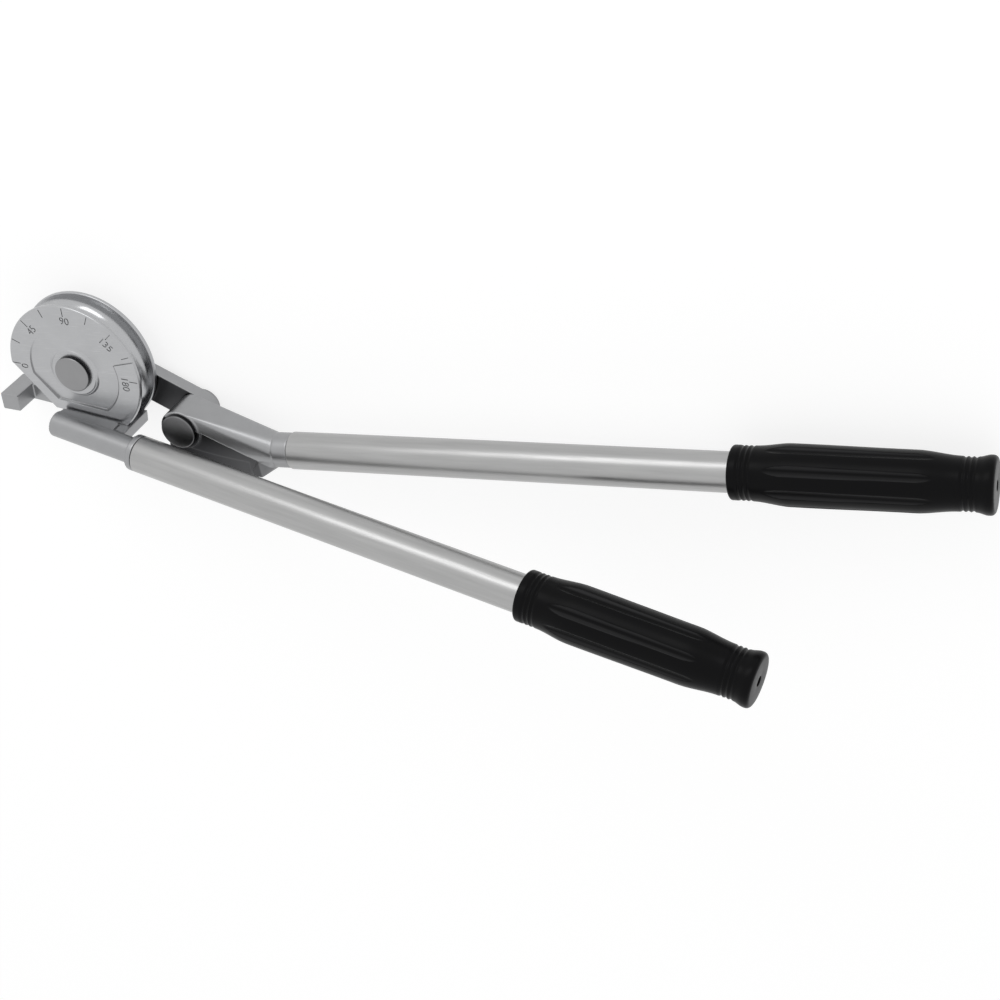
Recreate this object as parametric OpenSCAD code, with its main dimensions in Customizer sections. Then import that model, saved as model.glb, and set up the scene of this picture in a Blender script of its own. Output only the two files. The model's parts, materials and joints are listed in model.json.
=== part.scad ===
// Lever tube bender: a grooved forming wheel on a fixed handle, and a swinging shoe handle on a link.
// Origin at the wheel's axis in the middle of its groove. +Z along the axis, +X along the shoe handle.

/* [Tube to be bent] */
// Outside diameter of the tube that the tool bends
tube_d = 12.7; // [10:0.1:14]
// Bend radius to the tube's centre line
bend_radius = 38.1; // [36:0.1:41]
// Radial room between the tube and each groove
groove_clear = 0.1; // [0.05:0.05:0.3]

/* [Forming wheel] */
// How far the flanges reach past the tube's centre line
flange_over = 1.9; // [1:0.1:2.2]
// Flange wall beside the groove
flange_wall = 2.65; // [2:0.05:4]
// From the axis down to the flat bottom
wheel_drop = 26.4; // [24:0.1:28]
// From the axis to the slanted flat below the zero mark
chamfer_dist = 29.2; // [27:0.1:32]
// Direction that the slanted flat faces
chamfer_dir = 214; // [208:1:220]
// Direction of the zero mark, seen from the front
zero_dir = 171.9; // [168:0.1:175]
// Angle between neighbouring marks
tick_step = 22.5; // [15:7.5:45]
// Length of a mark
tick_len = 5; // [3:0.5:7]
// Width of a mark
tick_w = 0.5; // [0.3:0.1:1]
// Depth of a mark
tick_deep = 0.4; // [0.2:0.1:0.6]
// Radius of the sunken face
pocket_r = 27; // [24:0.5:30]
// Depth of the sunken face at the axis
pocket_deep = 0.7; // [0.5:0.1:1.2]
// Slope of the sunken face, deepest at the bottom
pocket_slope = 1.4; // [0.5:0.1:1.6]
// Direction where the sunken face begins to run out to the rim
pocket_from = 9.4; // [5:0.1:15]
// Direction where the sunken face stops running out to the rim
pocket_to = 117; // [100:1:125]
// Width of the raised rib along the two flats
rib_w = 6.2; // [5:0.1:8]
// Radius of the boss around the centre pin
boss_r = 13.8; // [12:0.1:15]
// Height of the boss above the wheel's face
boss_h = 0.6; // [0.3:0.1:1.5]
// Radius of the hub left standing on the back face
back_hub_r = 15.8; // [14:0.1:18]
// Depth of the ring cast into the back face
back_ring_deep = 1.5; // [0.5:0.1:2.5]

/* [Pins and bushes] */
// Radius of both pivot pins
pin_r = 6; // [5:0.1:6.5]
// Radius of the pins' reduced tails
tail_r = 5; // [4:0.1:5.3]
// Wall of the pivot bushes
bush_wall = 2; // [1.5:0.1:2.5]
// Radius of the centre pin's head
centre_head_r = 10.3; // [9:0.1:11.5]
// Radius of the link pin's head
link_head_r = 9.8; // [9:0.1:10.5]
// Height of the pin heads
head_h = 2.5; // [1.5:0.1:3]
// Rounding of the pin heads' rims
head_round = 0.7; // [0.3:0.1:1]
// Thickness of the spacing washers
spacer_t = 0.8; // [0.5:0.1:1.5]
// Radius of the spacing washers
spacer_r = 9; // [8.8:0.1:10]
// Thickness of the back washers
washer_t = 1.2; // [0.8:0.1:2]
// Radius of the back washers
washer_r = 9; // [8:0.1:10]
// Thickness of the retaining clips
clip_t = 1; // [0.8:0.1:1.5]
// Width of the retaining clips' ring
clip_w = 2.6; // [2:0.1:3.5]
// Depth of the grooves for the clips
clip_deep = 0.8; // [0.5:0.1:1]
// Length of a pin behind its clip
pin_end = 0.9; // [0.6:0.1:1.5]
// Running clearance, radial
run_clear = 0.04; // [0.02:0.01:0.09]
// Clearance of a pressed or threaded seat, radial
seat_clear = 0.02; // [0.01:0.01:0.05]
// Play between stacked pieces
play = 0.05; // [0.03:0.01:0.1]

/* [Link] */
// Distance between the two pivots
link_len = 65.8; // [64:0.1:69]
// Direction of the link as stored
link_dir = -30.2; // [-32:0.1:-28]
// Width of the link bar
link_w = 18.6; // [17:0.1:20]
// Thickness of the link bar
link_t = 7.6; // [6:0.1:9]
// Radius of the link's end behind the wheel
link_hub_r = 13; // [11:0.1:15]

/* [Shoe handle] */
// Radius of the eye on the link pin
eye_r = 11.2; // [10.5:0.1:12]
// From the wheel's middle plane to the front of the eye
eye_front = 10; // [9.5:0.1:11]
// From the link pin to the handle's axis
handle_offset = 15.84; // [14:0.1:17]
// From the link pin along the handle to the ferrule
ferrule_start = 51.9; // [48:0.1:56]
// Length of the ferrule
ferrule_len = 8.8; // [6:0.1:12]
// Radius of the ferrule
ferrule_r = 9.4; // [9.2:0.1:9.9]
// From the link pin along the handle to the arm's neck
neck_at = 40; // [38:0.5:44]
// Radius of that neck
arm_neck_r = 8.9; // [8.6:0.1:9.1]
// Lean of the shoe's groove away from the handle
shoe_lean = 5; // [4.5:0.1:7]
// How far the tangent point lies ahead of the link pin
shoe_lead = 4; // [3:0.1:5]
// Length of the shoe from the link pin's foot to its outer end
shoe_len = 45; // [40:0.5:48]
// Height of the shoe's flange above its lips
shoe_h = 9.5; // [8:0.1:12]
// Half width of the shoe and its web, where they are sunk below the arm
shoe_half_w = 7.4; // [7.1:0.1:8]
// Half width of the shoe's outer end
shoe_end_half_w = 8.8; // [8.4:0.1:9]
// Where the ridge over the sunken side starts, from the link pin
ridge_from = [10.6, -1.3]; // [-20:0.1:45]
// Where that ridge ends
ridge_to = [42.4, -18.5]; // [-20:0.1:45]
// How far the sunken side's end leans back towards the link pin
ridge_lean = 5; // [0:0.5:8]
// Room between the shoe's lips and the wheel's flanges
lip_gap = 0.6; // [0.4:0.1:1]

/* [Handles] */
// Outside radius of the handle tubes
handle_r = 10; // [9.5:0.1:10.5]
// Wall of the handle tubes
handle_wall = 1.5; // [1:0.1:2]
// Visible length of the shoe handle's tube
upper_tube_len = 239; // [200:1:280]
// Visible length of the fixed handle's tube
lower_tube_len = 231.5; // [200:0.5:280]
// Length of the shanks inside the tubes
shank_len = 30; // [24:1:40]
// Radius of the roll pins
roll_r = 1.5; // [1:0.1:2]
// From a tube's end to its roll pin
roll_from = 14; // [10:1:20]

/* [Grips] */
// Length of a grip
grip_len = 122; // [110:0.5:130]
// Radius of the grip's collar at the tube
collar_r = 13.3; // [12.5:0.1:14]
// Length of that collar
collar_len = 11; // [9:0.5:15]
// Radius of the barrel at its middle
barrel_r = 15.1; // [14.5:0.1:16]
// Radius of the barrel at its two ends
barrel_end_r = 13; // [12.7:0.1:14]
// Radius of the neck behind the end knob
neck_r = 12.5; // [12.2:0.1:13.2]
// Length of the neck
neck_len = 8; // [6:0.5:12]
// Radius of the end knob
knob_r = 13.8; // [13:0.1:15]
// Length of the end knob
knob_len = 7.5; // [6:0.5:15]
// Number of flutes around the barrel
flutes = 8; // [6:1:12]
// Turn of the first flute away from the wheel's plane
flute_turn = 6; // [0:1:40]
// Radius of a flute
flute_r = 3.4; // [2.5:0.1:4]
// Depth of a flute at the barrel's middle
flute_deep = 1.3; // [0.8:0.1:1.4]
// Rubber left between the tube's end and the grip's end
grip_end_wall = 12; // [11:1:15]
// Radius of the hole in the grip's end
end_hole_r = 2.5; // [1.5:0.1:4]
// Depth of that hole
end_hole_len = 10; // [6:0.5:10.5]

/* [Fixed handle bracket] */
// Direction of the fixed handle in the wheel's plane
handle_dir = -12.65; // [-14:0.05:-11]
// Tilt of the fixed handle towards the front
handle_tilt = 7.5; // [6:0.1:9]
// From the wheel's axis down to the fixed handle's axis
handle_drop = 31; // [30:0.1:33]
// From the wheel's middle plane to the fixed handle's axis, under the wheel's axis
handle_rise = 18; // [17.5:0.1:19]
// Radius of the nose in front of the wheel
nose_r = 7.2; // [6.8:0.1:8]
// Length of the nose behind the wheel's axis
nose_back = 10.2; // [9:0.1:11]
// Length of the nose ahead of the wheel's axis
nose_ahead = 43; // [40:0.5:48]
// Width of the shoulder that the tube butts on
shoulder_w = 3.4; // [2.5:0.1:5]
// Length of the shelf ahead of the wheel's axis
shelf_ahead = 31.9; // [30:0.1:32]
// Thickness of the shelf
shelf_t = 6.7; // [6:0.1:7.5]
// From the wheel's middle plane to the shelf's back edge
shelf_back = 8.5; // [7.5:0.1:9]
// Room between the wheel's face and the ledge in front of it
ledge_gap = 1.3; // [0.8:0.1:1.6]
// Height of the ledge above the shelf
ledge_h = 1.8; // [1.2:0.1:2.4]
// Length of the ledge ahead of the wheel's axis
ledge_ahead = 26; // [22:0.5:28]
// Rounding of the ledge's corner
ledge_round = 2; // [1:0.1:3]

/* [Wheel screws] */
// Radius of the two screws under the wheel
screw_r = 3; // [2.5:0.1:3.5]
// Depth of the screws in the wheel
screw_in = 10; // [8:0.5:12]
// Radial room for the screws in the shelf
screw_clear = 0.2; // [0.1:0.05:0.4]
// Radius of the screw heads
screw_head_r = 5; // [4.5:0.1:5.5]
// Height of the screw heads
screw_head_h = 5; // [4:0.1:6]
// Width of the hexagon socket across its corners
screw_socket = 5.8; // [4:0.1:6]
// Places of the screws along the fixed handle
screw_at = [-1, 20]; // [-3:1:24]

/* [Tube hook] */
// Room between the bent tube and the hook's finger
hook_gap = 0.3; // [0.2:0.1:0.8]
// Thickness of the finger, away from the tube
finger_t = 11; // [9:0.1:13]
// Height of the finger, along the tube
finger_h = 10; // [8:0.1:11]
// From the zero mark along the tube to the finger
finger_from = 25; // [22:0.5:28]
// How far the finger reaches in front of the wheel's middle plane
finger_reach = 5.6; // [4:0.1:8]
// Height of the hook's arm
arm_h = 10; // [8:0.1:11]
// Thickness of the hook's arm
arm_t = 7.6; // [6:0.1:8]
// From the wheel's axis down to the arm's axis
arm_drop = 34.3; // [33.5:0.1:35]
// From the wheel's back face to the arm
arm_gap = 0.3; // [0.2:0.1:1]
// Radius of the hook's round shank
shank_r = 4; // [3.5:0.1:4.2]
// Wall of the lug around the shank
lug_wall = 2.4; // [2:0.1:3]
// Length of the lug
lug_len = 24; // [18:0.5:28]
// Thickness of the hook's spring washer
spring_t = 0.8; // [0.5:0.1:1.2]

/* [Hidden] */
$fn = 96;
// A cut reaches this far past the face that it starts from
over = 1;
// Facets around the small or blended rounds
coarse = 32;
// Opening of a retaining clip, as a share of its pin's radius
clip_open = 1.2;
// Bevel along the grips' edges, and points along the barrel's bulge
grip_edge = 1.2;
barrel_steps = 16;

tube_r = tube_d / 2;
groove_r = tube_r + groove_clear;
wheel_r = bend_radius + flange_over;
wheel_face = groove_r + flange_wall;
bush_r = pin_r + bush_wall;

// The stack of pieces behind the wheel, from front to back
link_front = -wheel_face - spacer_t - 2 * play;
link_back = link_front - link_t;
washer_front = link_back - play;
clip_front = washer_front - washer_t - play;
pin_tail = clip_front - clip_t - pin_end;
eye_back = link_front + spacer_t + 2 * play;

// The link pin as stored, and the handle that hangs from it
pin_x = link_len * cos(link_dir);
pin_y = link_len * sin(link_dir);
tube_start = ferrule_start + ferrule_len;
handle_bore = handle_r - handle_wall;
grip_inside = grip_len - grip_end_wall;
barrel_end = grip_len - neck_len - knob_len;
// From the link pin down to the groove's axis, so that the groove meets the bend radius
groove_drop = sqrt(link_len * link_len - shoe_lead * shoe_lead) - bend_radius;
lip_drop = groove_drop - flange_over - lip_gap;
heel_r = link_len - wheel_r - lip_gap / 2;
// A blended or joining solid lies this far inside the solids that it joins
step = 0.3;
// Length of the neck that the shoe's outer end runs into, and of the block at that end
neck_run = 3;
shoe_end_block = 7;

// Places on the fixed handle's bracket
lower_start = nose_ahead + shoulder_w;
ledge_back = wheel_face + ledge_gap;
arm_front = -wheel_face - arm_gap;
arm_mid = arm_front - arm_t / 2;
lug_r = shank_r + run_clear + lug_wall;
lug_start = -nose_back;
lug_end = lug_start + lug_len;
arm_end = lug_start - spring_t - 2 * play;
hook_washer_at = lug_end + play;
hook_clip_at = hook_washer_at + washer_t + play;
hook_tail = hook_clip_at + clip_t + pin_end;
finger_in = bend_radius + tube_r + hook_gap;

function nose_z(u) = handle_rise + u * tan(handle_tilt);

// Frame of the fixed handle's side: X along the handle in the wheel's plane, Y up from it
module bracket_frame() { rotate([0, 0, handle_dir]) children(); }

// Frame of the fixed handle itself, tilted to the front
module lower_frame() {
    bracket_frame() translate([0, -handle_drop, handle_rise]) rotate([0, -handle_tilt, 0]) children();
}

// Frame of the shoe handle: origin at the link pin, X along the handle
module shoe_frame() { translate([pin_x, pin_y, 0]) children(); }

// Frame of the shoe handle's tube
module upper_frame() { shoe_frame() translate([0, -handle_offset, 0]) children(); }

// Frame of the shoe's groove: X along the groove, origin at the link pin
module groove_frame() { rotate([0, 0, -shoe_lean]) children(); }

// A cylinder along X from x0 to x1
module bar_x(r, x0, x1) { translate([x0, 0, 0]) rotate([0, 90, 0]) cylinder(r = r, h = x1 - x0); }

// A cylinder along Z from z0 to z1
module bar_z(r, z0, z1) { translate([0, 0, z0]) cylinder(r = r, h = z1 - z0); }

module ring_z(r_out, r_in, z0, z1) {
    difference() {
        bar_z(r_out, z0, z1);
        bar_z(r_in, z0 - over, z1 + over);
    }
}

// A half plane whose edge lies at a distance from the origin and faces a direction
module keep_inside(dist, dir) {
    big = 4 * wheel_r;
    rotate(dir) translate([dist - big, -big / 2]) square(big);
}

// A retaining clip around a pin along Z, open to one side
module clip(r_pin, z0) {
    inner = r_pin - clip_deep + seat_clear;
    gap = clip_open * r_pin;
    difference() {
        ring_z(inner + clip_w, inner, z0, z0 + clip_t);
        translate([0, -gap / 2, z0 - over]) cube([inner + clip_w + over, gap, clip_t + 2 * over]);
    }
}

// The groove that such a clip sits in
module clip_groove(r_pin, z0) { ring_z(r_pin + over, r_pin - clip_deep, z0 - play, z0 + clip_t + play); }

// A pin head with a rounded rim, standing on z0
module pin_head(r, z0) {
    translate([0, 0, z0]) rotate_extrude() union() {
        square([r, head_h - head_round]);
        square([r - head_round, head_h]);
        translate([r - head_round, head_h - head_round]) circle(r = head_round);
    }
}

// Outline of the wheel's flats, shared by the wheel and its sunken face
module flats(inset) {
    intersection() {
        circle(r = 2 * wheel_r);
        keep_inside(wheel_drop - inset, handle_dir - 90);
        keep_inside(chamfer_dist - inset, chamfer_dir);
    }
}

// The sunken front face: a disc that runs out to the rim between two directions
module pocket_outline() {
    reach = 2 * wheel_r;
    middle = (pocket_from + pocket_to) / 2;
    intersection() {
        flats(rib_w);
        union() {
            circle(r = pocket_r);
            polygon([
                [0, 0],
                [reach * cos(pocket_from), reach * sin(pocket_from)],
                [reach * cos(middle), reach * sin(middle)],
                [reach * cos(pocket_to), reach * sin(pocket_to)]
            ]);
        }
    }
}

module forming_wheel() {
    top = wheel_face + boss_h;
    color([0.78, 0.79, 0.8]) difference() {
        union() {
            intersection() {
                difference() {
                    bar_z(wheel_r, -wheel_face, wheel_face);
                    rotate_extrude() union() {
                        translate([bend_radius, 0]) circle(r = groove_r);
                        translate([bend_radius, -groove_r]) square([flange_over + over, 2 * groove_r]);
                    }
                    translate([0, 0, wheel_face - pocket_deep]) rotate([pocket_slope, 0, 0])
                        linear_extrude(wheel_face) pocket_outline();
                    ring_z(pocket_r, back_hub_r, -wheel_face - over, -wheel_face + back_ring_deep);
                    for (mark = [0 : tick_step : 180])
                        rotate([0, 0, zero_dir - mark])
                            translate([wheel_r - tick_len, -tick_w / 2, wheel_face - tick_deep])
                                cube([tick_len + over, tick_w, tick_deep + over]);
                }
                translate([0, 0, -2 * wheel_face]) linear_extrude(4 * wheel_face) flats(0);
            }
            bar_z(boss_r, 0, top);
        }
        bar_z(pin_r + seat_clear, -wheel_face - over, top + over);
        bracket_frame() for (u = screw_at)
            translate([u, -wheel_drop - over, 0]) rotate([-90, 0, 0])
                cylinder(r = screw_r + seat_clear, h = screw_in + over);
    }
}

module wheel_bracket() {
    left = over - nose_back;
    shelf_bottom = -wheel_drop - shelf_t;
    color([0.55, 0.55, 0.56]) difference() {
        union() {
            bracket_frame() {
                translate([0, -wheel_drop, 0]) rotate([90, 0, 0]) linear_extrude(shelf_t) polygon([
                    [left, -shelf_back], [shelf_ahead, -shelf_back],
                    [shelf_ahead, nose_z(shelf_ahead)], [left, nose_z(left)]
                ]);
                translate([0, -wheel_drop + ledge_h, 0]) rotate([90, 0, 0]) linear_extrude(ledge_h + over)
                    difference() {
                        polygon([
                            [left, ledge_back], [ledge_ahead, ledge_back],
                            [ledge_ahead, nose_z(ledge_ahead)], [left, nose_z(left)]
                        ]);
                        translate([ledge_ahead - ledge_round, ledge_back - over]) difference() {
                            square([ledge_round + over, ledge_round + over]);
                            translate([0, ledge_round + over]) circle(r = ledge_round);
                        }
                    }
                translate([0, -arm_drop, arm_mid]) bar_x(lug_r, lug_start, lug_end + over);
                translate([lug_start + step, shelf_bottom + step, arm_mid])
                    cube([lug_len - 2 * step, shelf_t - 2 * step, -shelf_back - arm_mid + over]);
            }
            lower_frame() {
                bar_x(nose_r, -nose_back, nose_ahead);
                bar_x(handle_r, nose_ahead, lower_start);
                bar_x(handle_bore - seat_clear, nose_ahead, lower_start + shank_len);
            }
        }
        bracket_frame() {
            translate([0, -arm_drop, arm_mid]) {
                bar_x(shank_r + run_clear, lug_start - over, lug_end + over);
                bar_x(lug_r + step, lug_end, hook_tail + over);
            }
            for (u = screw_at) translate([u, shelf_bottom - over, 0]) rotate([-90, 0, 0])
                cylinder(r = screw_r + screw_clear, h = shelf_t + 2 * over);
        }
        lower_frame() roll_hole(lower_start + roll_from);
    }
}

// Two socket screws that hold the wheel on its shelf from below
module wheel_screws() {
    head_top = -wheel_drop - shelf_t;
    color([0.25, 0.25, 0.26]) bracket_frame() for (u = screw_at)
        translate([u, head_top, 0]) rotate([-90, 0, 0]) difference() {
            union() {
                bar_z(screw_head_r, -screw_head_h, 0);
                bar_z(screw_r, -screw_head_h, shelf_t + screw_in - over);
            }
            translate([0, 0, -screw_head_h - over])
                cylinder(d = screw_socket, h = screw_head_h / 2 + over, $fn = 6);
        }
}

module centre_pin() {
    head_at = wheel_face + boss_h;
    color([0.6, 0.6, 0.61]) difference() {
        union() {
            pin_head(centre_head_r, head_at);
            bar_z(pin_r, pin_tail, head_at + over);
        }
        clip_groove(pin_r, clip_front - clip_t);
    }
}

module centre_spacer() {
    color([0.7, 0.55, 0.3])
        ring_z(spacer_r, pin_r + run_clear, link_front + play, link_front + play + spacer_t);
}

module centre_washer() {
    color([0.65, 0.65, 0.66]) ring_z(washer_r, pin_r + run_clear, washer_front - washer_t, washer_front);
}

module centre_clip() { color([0.3, 0.3, 0.31]) clip(pin_r, clip_front - clip_t); }

module link_bar() {
    color([0.55, 0.55, 0.56]) rotate([0, 0, link_dir]) difference() {
        union() {
            bar_z(link_hub_r, link_back, link_front);
            translate([link_len, 0, 0]) bar_z(link_w / 2, link_back, link_front);
            translate([0, -link_w / 2, link_back]) cube([link_len, link_w, link_t]);
        }
        bar_z(bush_r + seat_clear, link_back - over, link_front + over);
        translate([link_len, 0, 0]) bar_z(tail_r + seat_clear, link_back - over, link_front + over);
    }
}

module link_bush() { color([0.7, 0.55, 0.3]) ring_z(bush_r, pin_r + run_clear, link_back, link_front); }

module link_pin() {
    head_at = eye_front + play;
    color([0.4, 0.4, 0.41]) shoe_frame() difference() {
        union() {
            pin_head(link_head_r, head_at);
            bar_z(pin_r, link_front, head_at + over);
            bar_z(tail_r, pin_tail, link_front + over);
        }
        clip_groove(tail_r, clip_front - clip_t);
    }
}

module link_washer() {
    color([0.65, 0.65, 0.66]) shoe_frame()
        ring_z(washer_r, tail_r + run_clear, washer_front - washer_t, washer_front);
}

module link_clip() { color([0.3, 0.3, 0.31]) shoe_frame() clip(tail_r, clip_front - clip_t); }

module eye_spacer() {
    color([0.7, 0.55, 0.3]) shoe_frame()
        ring_z(spacer_r, pin_r + run_clear, link_front + play, link_front + play + spacer_t);
}

module eye_bush() {
    color([0.7, 0.55, 0.3]) shoe_frame() ring_z(bush_r, pin_r + run_clear, eye_back, eye_front);
}

// The arm's round neck from a place on the handle to inside the ferrule, set in from its own surface
module neck(inset, from) {
    translate([0, -handle_offset, 0])
        bar_x(arm_neck_r - inset, from, ferrule_start + step + inset, $fn = coarse);
}

// Outline of the shoe and its web, with the heel kept inside the circle that clears the wheel
module shoe_outline() {
    web_base = -lip_drop + shoe_h - over;
    polygon([
        [over - eye_r, web_base], [shoe_len - over, web_base],
        [shoe_len - over, over - handle_offset], [0, 0], [over - eye_r, 0]
    ]);
    intersection() {
        translate([-heel_r, -lip_drop]) square([heel_r + shoe_len, shoe_h]);
        union() {
            circle(r = heel_r);
            translate([-shoe_lead, -lip_drop]) square([shoe_lead + shoe_len, shoe_h]);
        }
        translate([-eye_r, -lip_drop]) square([eye_r + shoe_len, shoe_h]);
    }
}

// Outline of the side that is sunk between the eye, the ridge and the shoe's outer end
module sunken_side() {
    low = -2 * lip_drop;
    difference() {
        polygon([
            ridge_from, ridge_to, [ridge_to[0] - ridge_lean, -lip_drop],
            [ridge_to[0] - 2 * ridge_lean, low], [-2 * eye_r, low], [-2 * eye_r, ridge_from[1]]
        ]);
        circle(r = eye_r + 2 * step);
    }
}

module shoe_forging() {
    color([0.55, 0.55, 0.56]) shoe_frame() difference() {
        union() {
            bar_z(eye_r, eye_back, eye_front);
            hull() {
                bar_z(eye_r - step, eye_back + step, eye_front - step, $fn = coarse);
                neck(0, neck_at);
            }
            hull() {
                neck(2 * step, ferrule_start - neck_run);
                groove_frame() translate([shoe_len - shoe_end_block, step - lip_drop, -shoe_end_half_w])
                    cube([shoe_end_block - step, shoe_h - 2 * step, 2 * shoe_end_half_w]);
            }
            groove_frame() translate([0, 0, -shoe_half_w]) linear_extrude(2 * shoe_half_w) shoe_outline();
            translate([0, -handle_offset, 0]) {
                bar_x(ferrule_r, ferrule_start, tube_start);
                bar_x(handle_bore - seat_clear, ferrule_start, tube_start + shank_len);
            }
        }
        translate([0, 0, shoe_half_w + step]) linear_extrude(eye_front) sunken_side();
        translate([0, 0, -shoe_half_w - step - eye_front]) linear_extrude(eye_front) sunken_side();
        bar_z(bush_r + seat_clear, eye_back - over, eye_front + over);
        groove_frame() translate([0, -groove_drop, 0]) bar_x(groove_r, -2 * heel_r, shoe_len + tube_start);
        translate([0, -handle_offset, 0]) roll_hole(tube_start + roll_from);
    }
}

// A hole for a roll pin, from the underside of a handle to its axis
module roll_hole(at) {
    translate([at, over, 0]) rotate([90, 0, 0]) cylinder(r = roll_r + seat_clear, h = handle_r + 2 * over);
}

module roll_pin(at) {
    translate([at, 0, 0]) rotate([90, 0, 0]) ring_z(roll_r, roll_r / 2, 0, handle_r - seat_clear);
}

// A handle tube along X, from its butted end into the grip
module handle_tube(start, length) {
    difference() {
        bar_x(handle_r, start, start + length + grip_inside);
        bar_x(handle_bore, start - over, start + length + grip_inside + over);
        roll_hole(start + roll_from);
    }
}

// Half of the grip's section: collar, bulged barrel, neck and knob, from the tube's side outwards
function grip_section() = concat(
    [[0, 0], [collar_r - grip_edge, 0], [collar_r, grip_edge], [collar_r, collar_len - grip_edge]],
    [for (i = [0 : barrel_steps]) [
        barrel_end_r + (barrel_r - barrel_end_r) * sqrt(sin(180 * i / barrel_steps)),
        collar_len + (barrel_end - collar_len) * i / barrel_steps
    ]],
    [[neck_r, barrel_end + grip_edge], [neck_r, barrel_end + neck_len]],
    [[knob_r, grip_len - 3 * grip_edge], [knob_r, grip_len - grip_edge], [knob_r - grip_edge, grip_len]],
    [[0, grip_len]]
);

// A moulded grip along X that starts at a place on the tube
module grip(start) {
    translate([start, 0, 0]) rotate([0, 90, 0]) difference() {
        rotate_extrude() polygon(grip_section());
        translate([0, 0, -over]) cylinder(r = handle_r + seat_clear, h = grip_inside + over + play);
        translate([0, 0, grip_len - end_hole_len]) cylinder(r = end_hole_r, h = end_hole_len + over);
        for (i = [0 : flutes - 1]) rotate([0, 0, 90 + flute_turn + 360 * i / flutes])
            translate([barrel_r - flute_deep + flute_r, 0, collar_len])
                cylinder(r = flute_r, h = barrel_end - collar_len, $fn = coarse);
    }
}

module lower_tube() { color([0.68, 0.68, 0.68]) lower_frame() handle_tube(lower_start, lower_tube_len); }
module lower_grip() { color([0.06, 0.06, 0.06]) lower_frame() grip(lower_start + lower_tube_len); }
module lower_roll_pin() { color([0.3, 0.3, 0.31]) lower_frame() roll_pin(lower_start + roll_from); }
module upper_tube() { color([0.68, 0.68, 0.68]) upper_frame() handle_tube(tube_start, upper_tube_len); }
module upper_grip() { color([0.06, 0.06, 0.06]) upper_frame() grip(tube_start + upper_tube_len); }
module upper_roll_pin() { color([0.3, 0.3, 0.31]) upper_frame() roll_pin(tube_start + roll_from); }

module tube_hook() {
    color([0.55, 0.55, 0.56]) difference() {
        union() {
            rotate([0, 0, zero_dir]) translate([finger_in, finger_from, arm_front - arm_t])
                cube([finger_t, finger_h, arm_t + finger_reach - arm_front]);
            bracket_frame() translate([0, -arm_drop, 0]) {
                intersection() {
                    translate([-finger_in - finger_from, -arm_h / 2, arm_front - arm_t])
                        cube([finger_in + finger_from + arm_end, arm_h, arm_t]);
                    translate([0, arm_drop, 0]) rotate([0, 0, zero_dir - handle_dir])
                        translate([-2 * wheel_r, -2 * wheel_r, arm_front - 2 * arm_t])
                            cube([2 * wheel_r + finger_in + finger_t, 4 * wheel_r, 3 * arm_t]);
                }
                translate([0, 0, arm_mid]) bar_x(shank_r, arm_end - over, hook_tail);
            }
        }
        bracket_frame() translate([0, -arm_drop, arm_mid]) rotate([0, 90, 0])
            clip_groove(shank_r, hook_clip_at);
    }
}

module hook_spring_washer() {
    color([0.3, 0.3, 0.31]) bracket_frame() translate([0, -arm_drop, arm_mid]) rotate([0, 90, 0])
        ring_z(lug_r - lug_wall / 2, shank_r + run_clear, lug_start - play - spring_t, lug_start - play);
}

module hook_washer() {
    color([0.65, 0.65, 0.66]) bracket_frame() translate([0, -arm_drop, arm_mid]) rotate([0, 90, 0])
        ring_z(lug_r, shank_r + run_clear, hook_washer_at, hook_washer_at + washer_t);
}

module hook_clip() {
    color([0.3, 0.3, 0.31]) bracket_frame() translate([0, -arm_drop, arm_mid]) rotate([0, 90, 0])
        clip(shank_r, hook_clip_at);
}

forming_wheel();
wheel_bracket();
wheel_screws();
centre_pin();
centre_spacer();
centre_washer();
centre_clip();
lower_tube();
lower_grip();
lower_roll_pin();
link_bar();
link_bush();
link_pin();
link_washer();
link_clip();
shoe_forging();
eye_bush();
eye_spacer();
upper_tube();
upper_grip();
upper_roll_pin();
tube_hook();
hook_spring_washer();
hook_washer();
hook_clip();
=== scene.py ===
"""Looks of a lever tube bender: plated wheel, forged steel, satin tubes and fluted grips on its frame."""

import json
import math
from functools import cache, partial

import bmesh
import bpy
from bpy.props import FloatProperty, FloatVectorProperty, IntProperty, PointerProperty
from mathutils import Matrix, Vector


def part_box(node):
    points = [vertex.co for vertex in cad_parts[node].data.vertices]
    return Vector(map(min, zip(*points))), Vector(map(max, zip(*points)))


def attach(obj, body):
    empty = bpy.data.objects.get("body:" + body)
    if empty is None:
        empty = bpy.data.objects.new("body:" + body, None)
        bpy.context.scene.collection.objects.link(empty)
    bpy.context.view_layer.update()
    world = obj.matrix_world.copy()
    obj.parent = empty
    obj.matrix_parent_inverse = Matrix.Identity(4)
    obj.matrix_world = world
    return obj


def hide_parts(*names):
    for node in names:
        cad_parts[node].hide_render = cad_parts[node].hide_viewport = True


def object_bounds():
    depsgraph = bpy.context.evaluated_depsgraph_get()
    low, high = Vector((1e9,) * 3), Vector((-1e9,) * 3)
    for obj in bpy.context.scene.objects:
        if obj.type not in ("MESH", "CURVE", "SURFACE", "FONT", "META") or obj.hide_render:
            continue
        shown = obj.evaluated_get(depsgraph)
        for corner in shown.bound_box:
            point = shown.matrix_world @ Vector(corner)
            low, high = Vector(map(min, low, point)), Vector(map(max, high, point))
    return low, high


bl_info = {
    "name": "Lever Tube Bender",
    "version": (1, 0, 0),
    "blender": (4, 5, 0),
    "location": "View3D > Sidebar > Tube Bender",
    "description": "Dresses the frame of a lever tube bender with finished pieces on a plain stage",
    "category": "Object",
}

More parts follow.
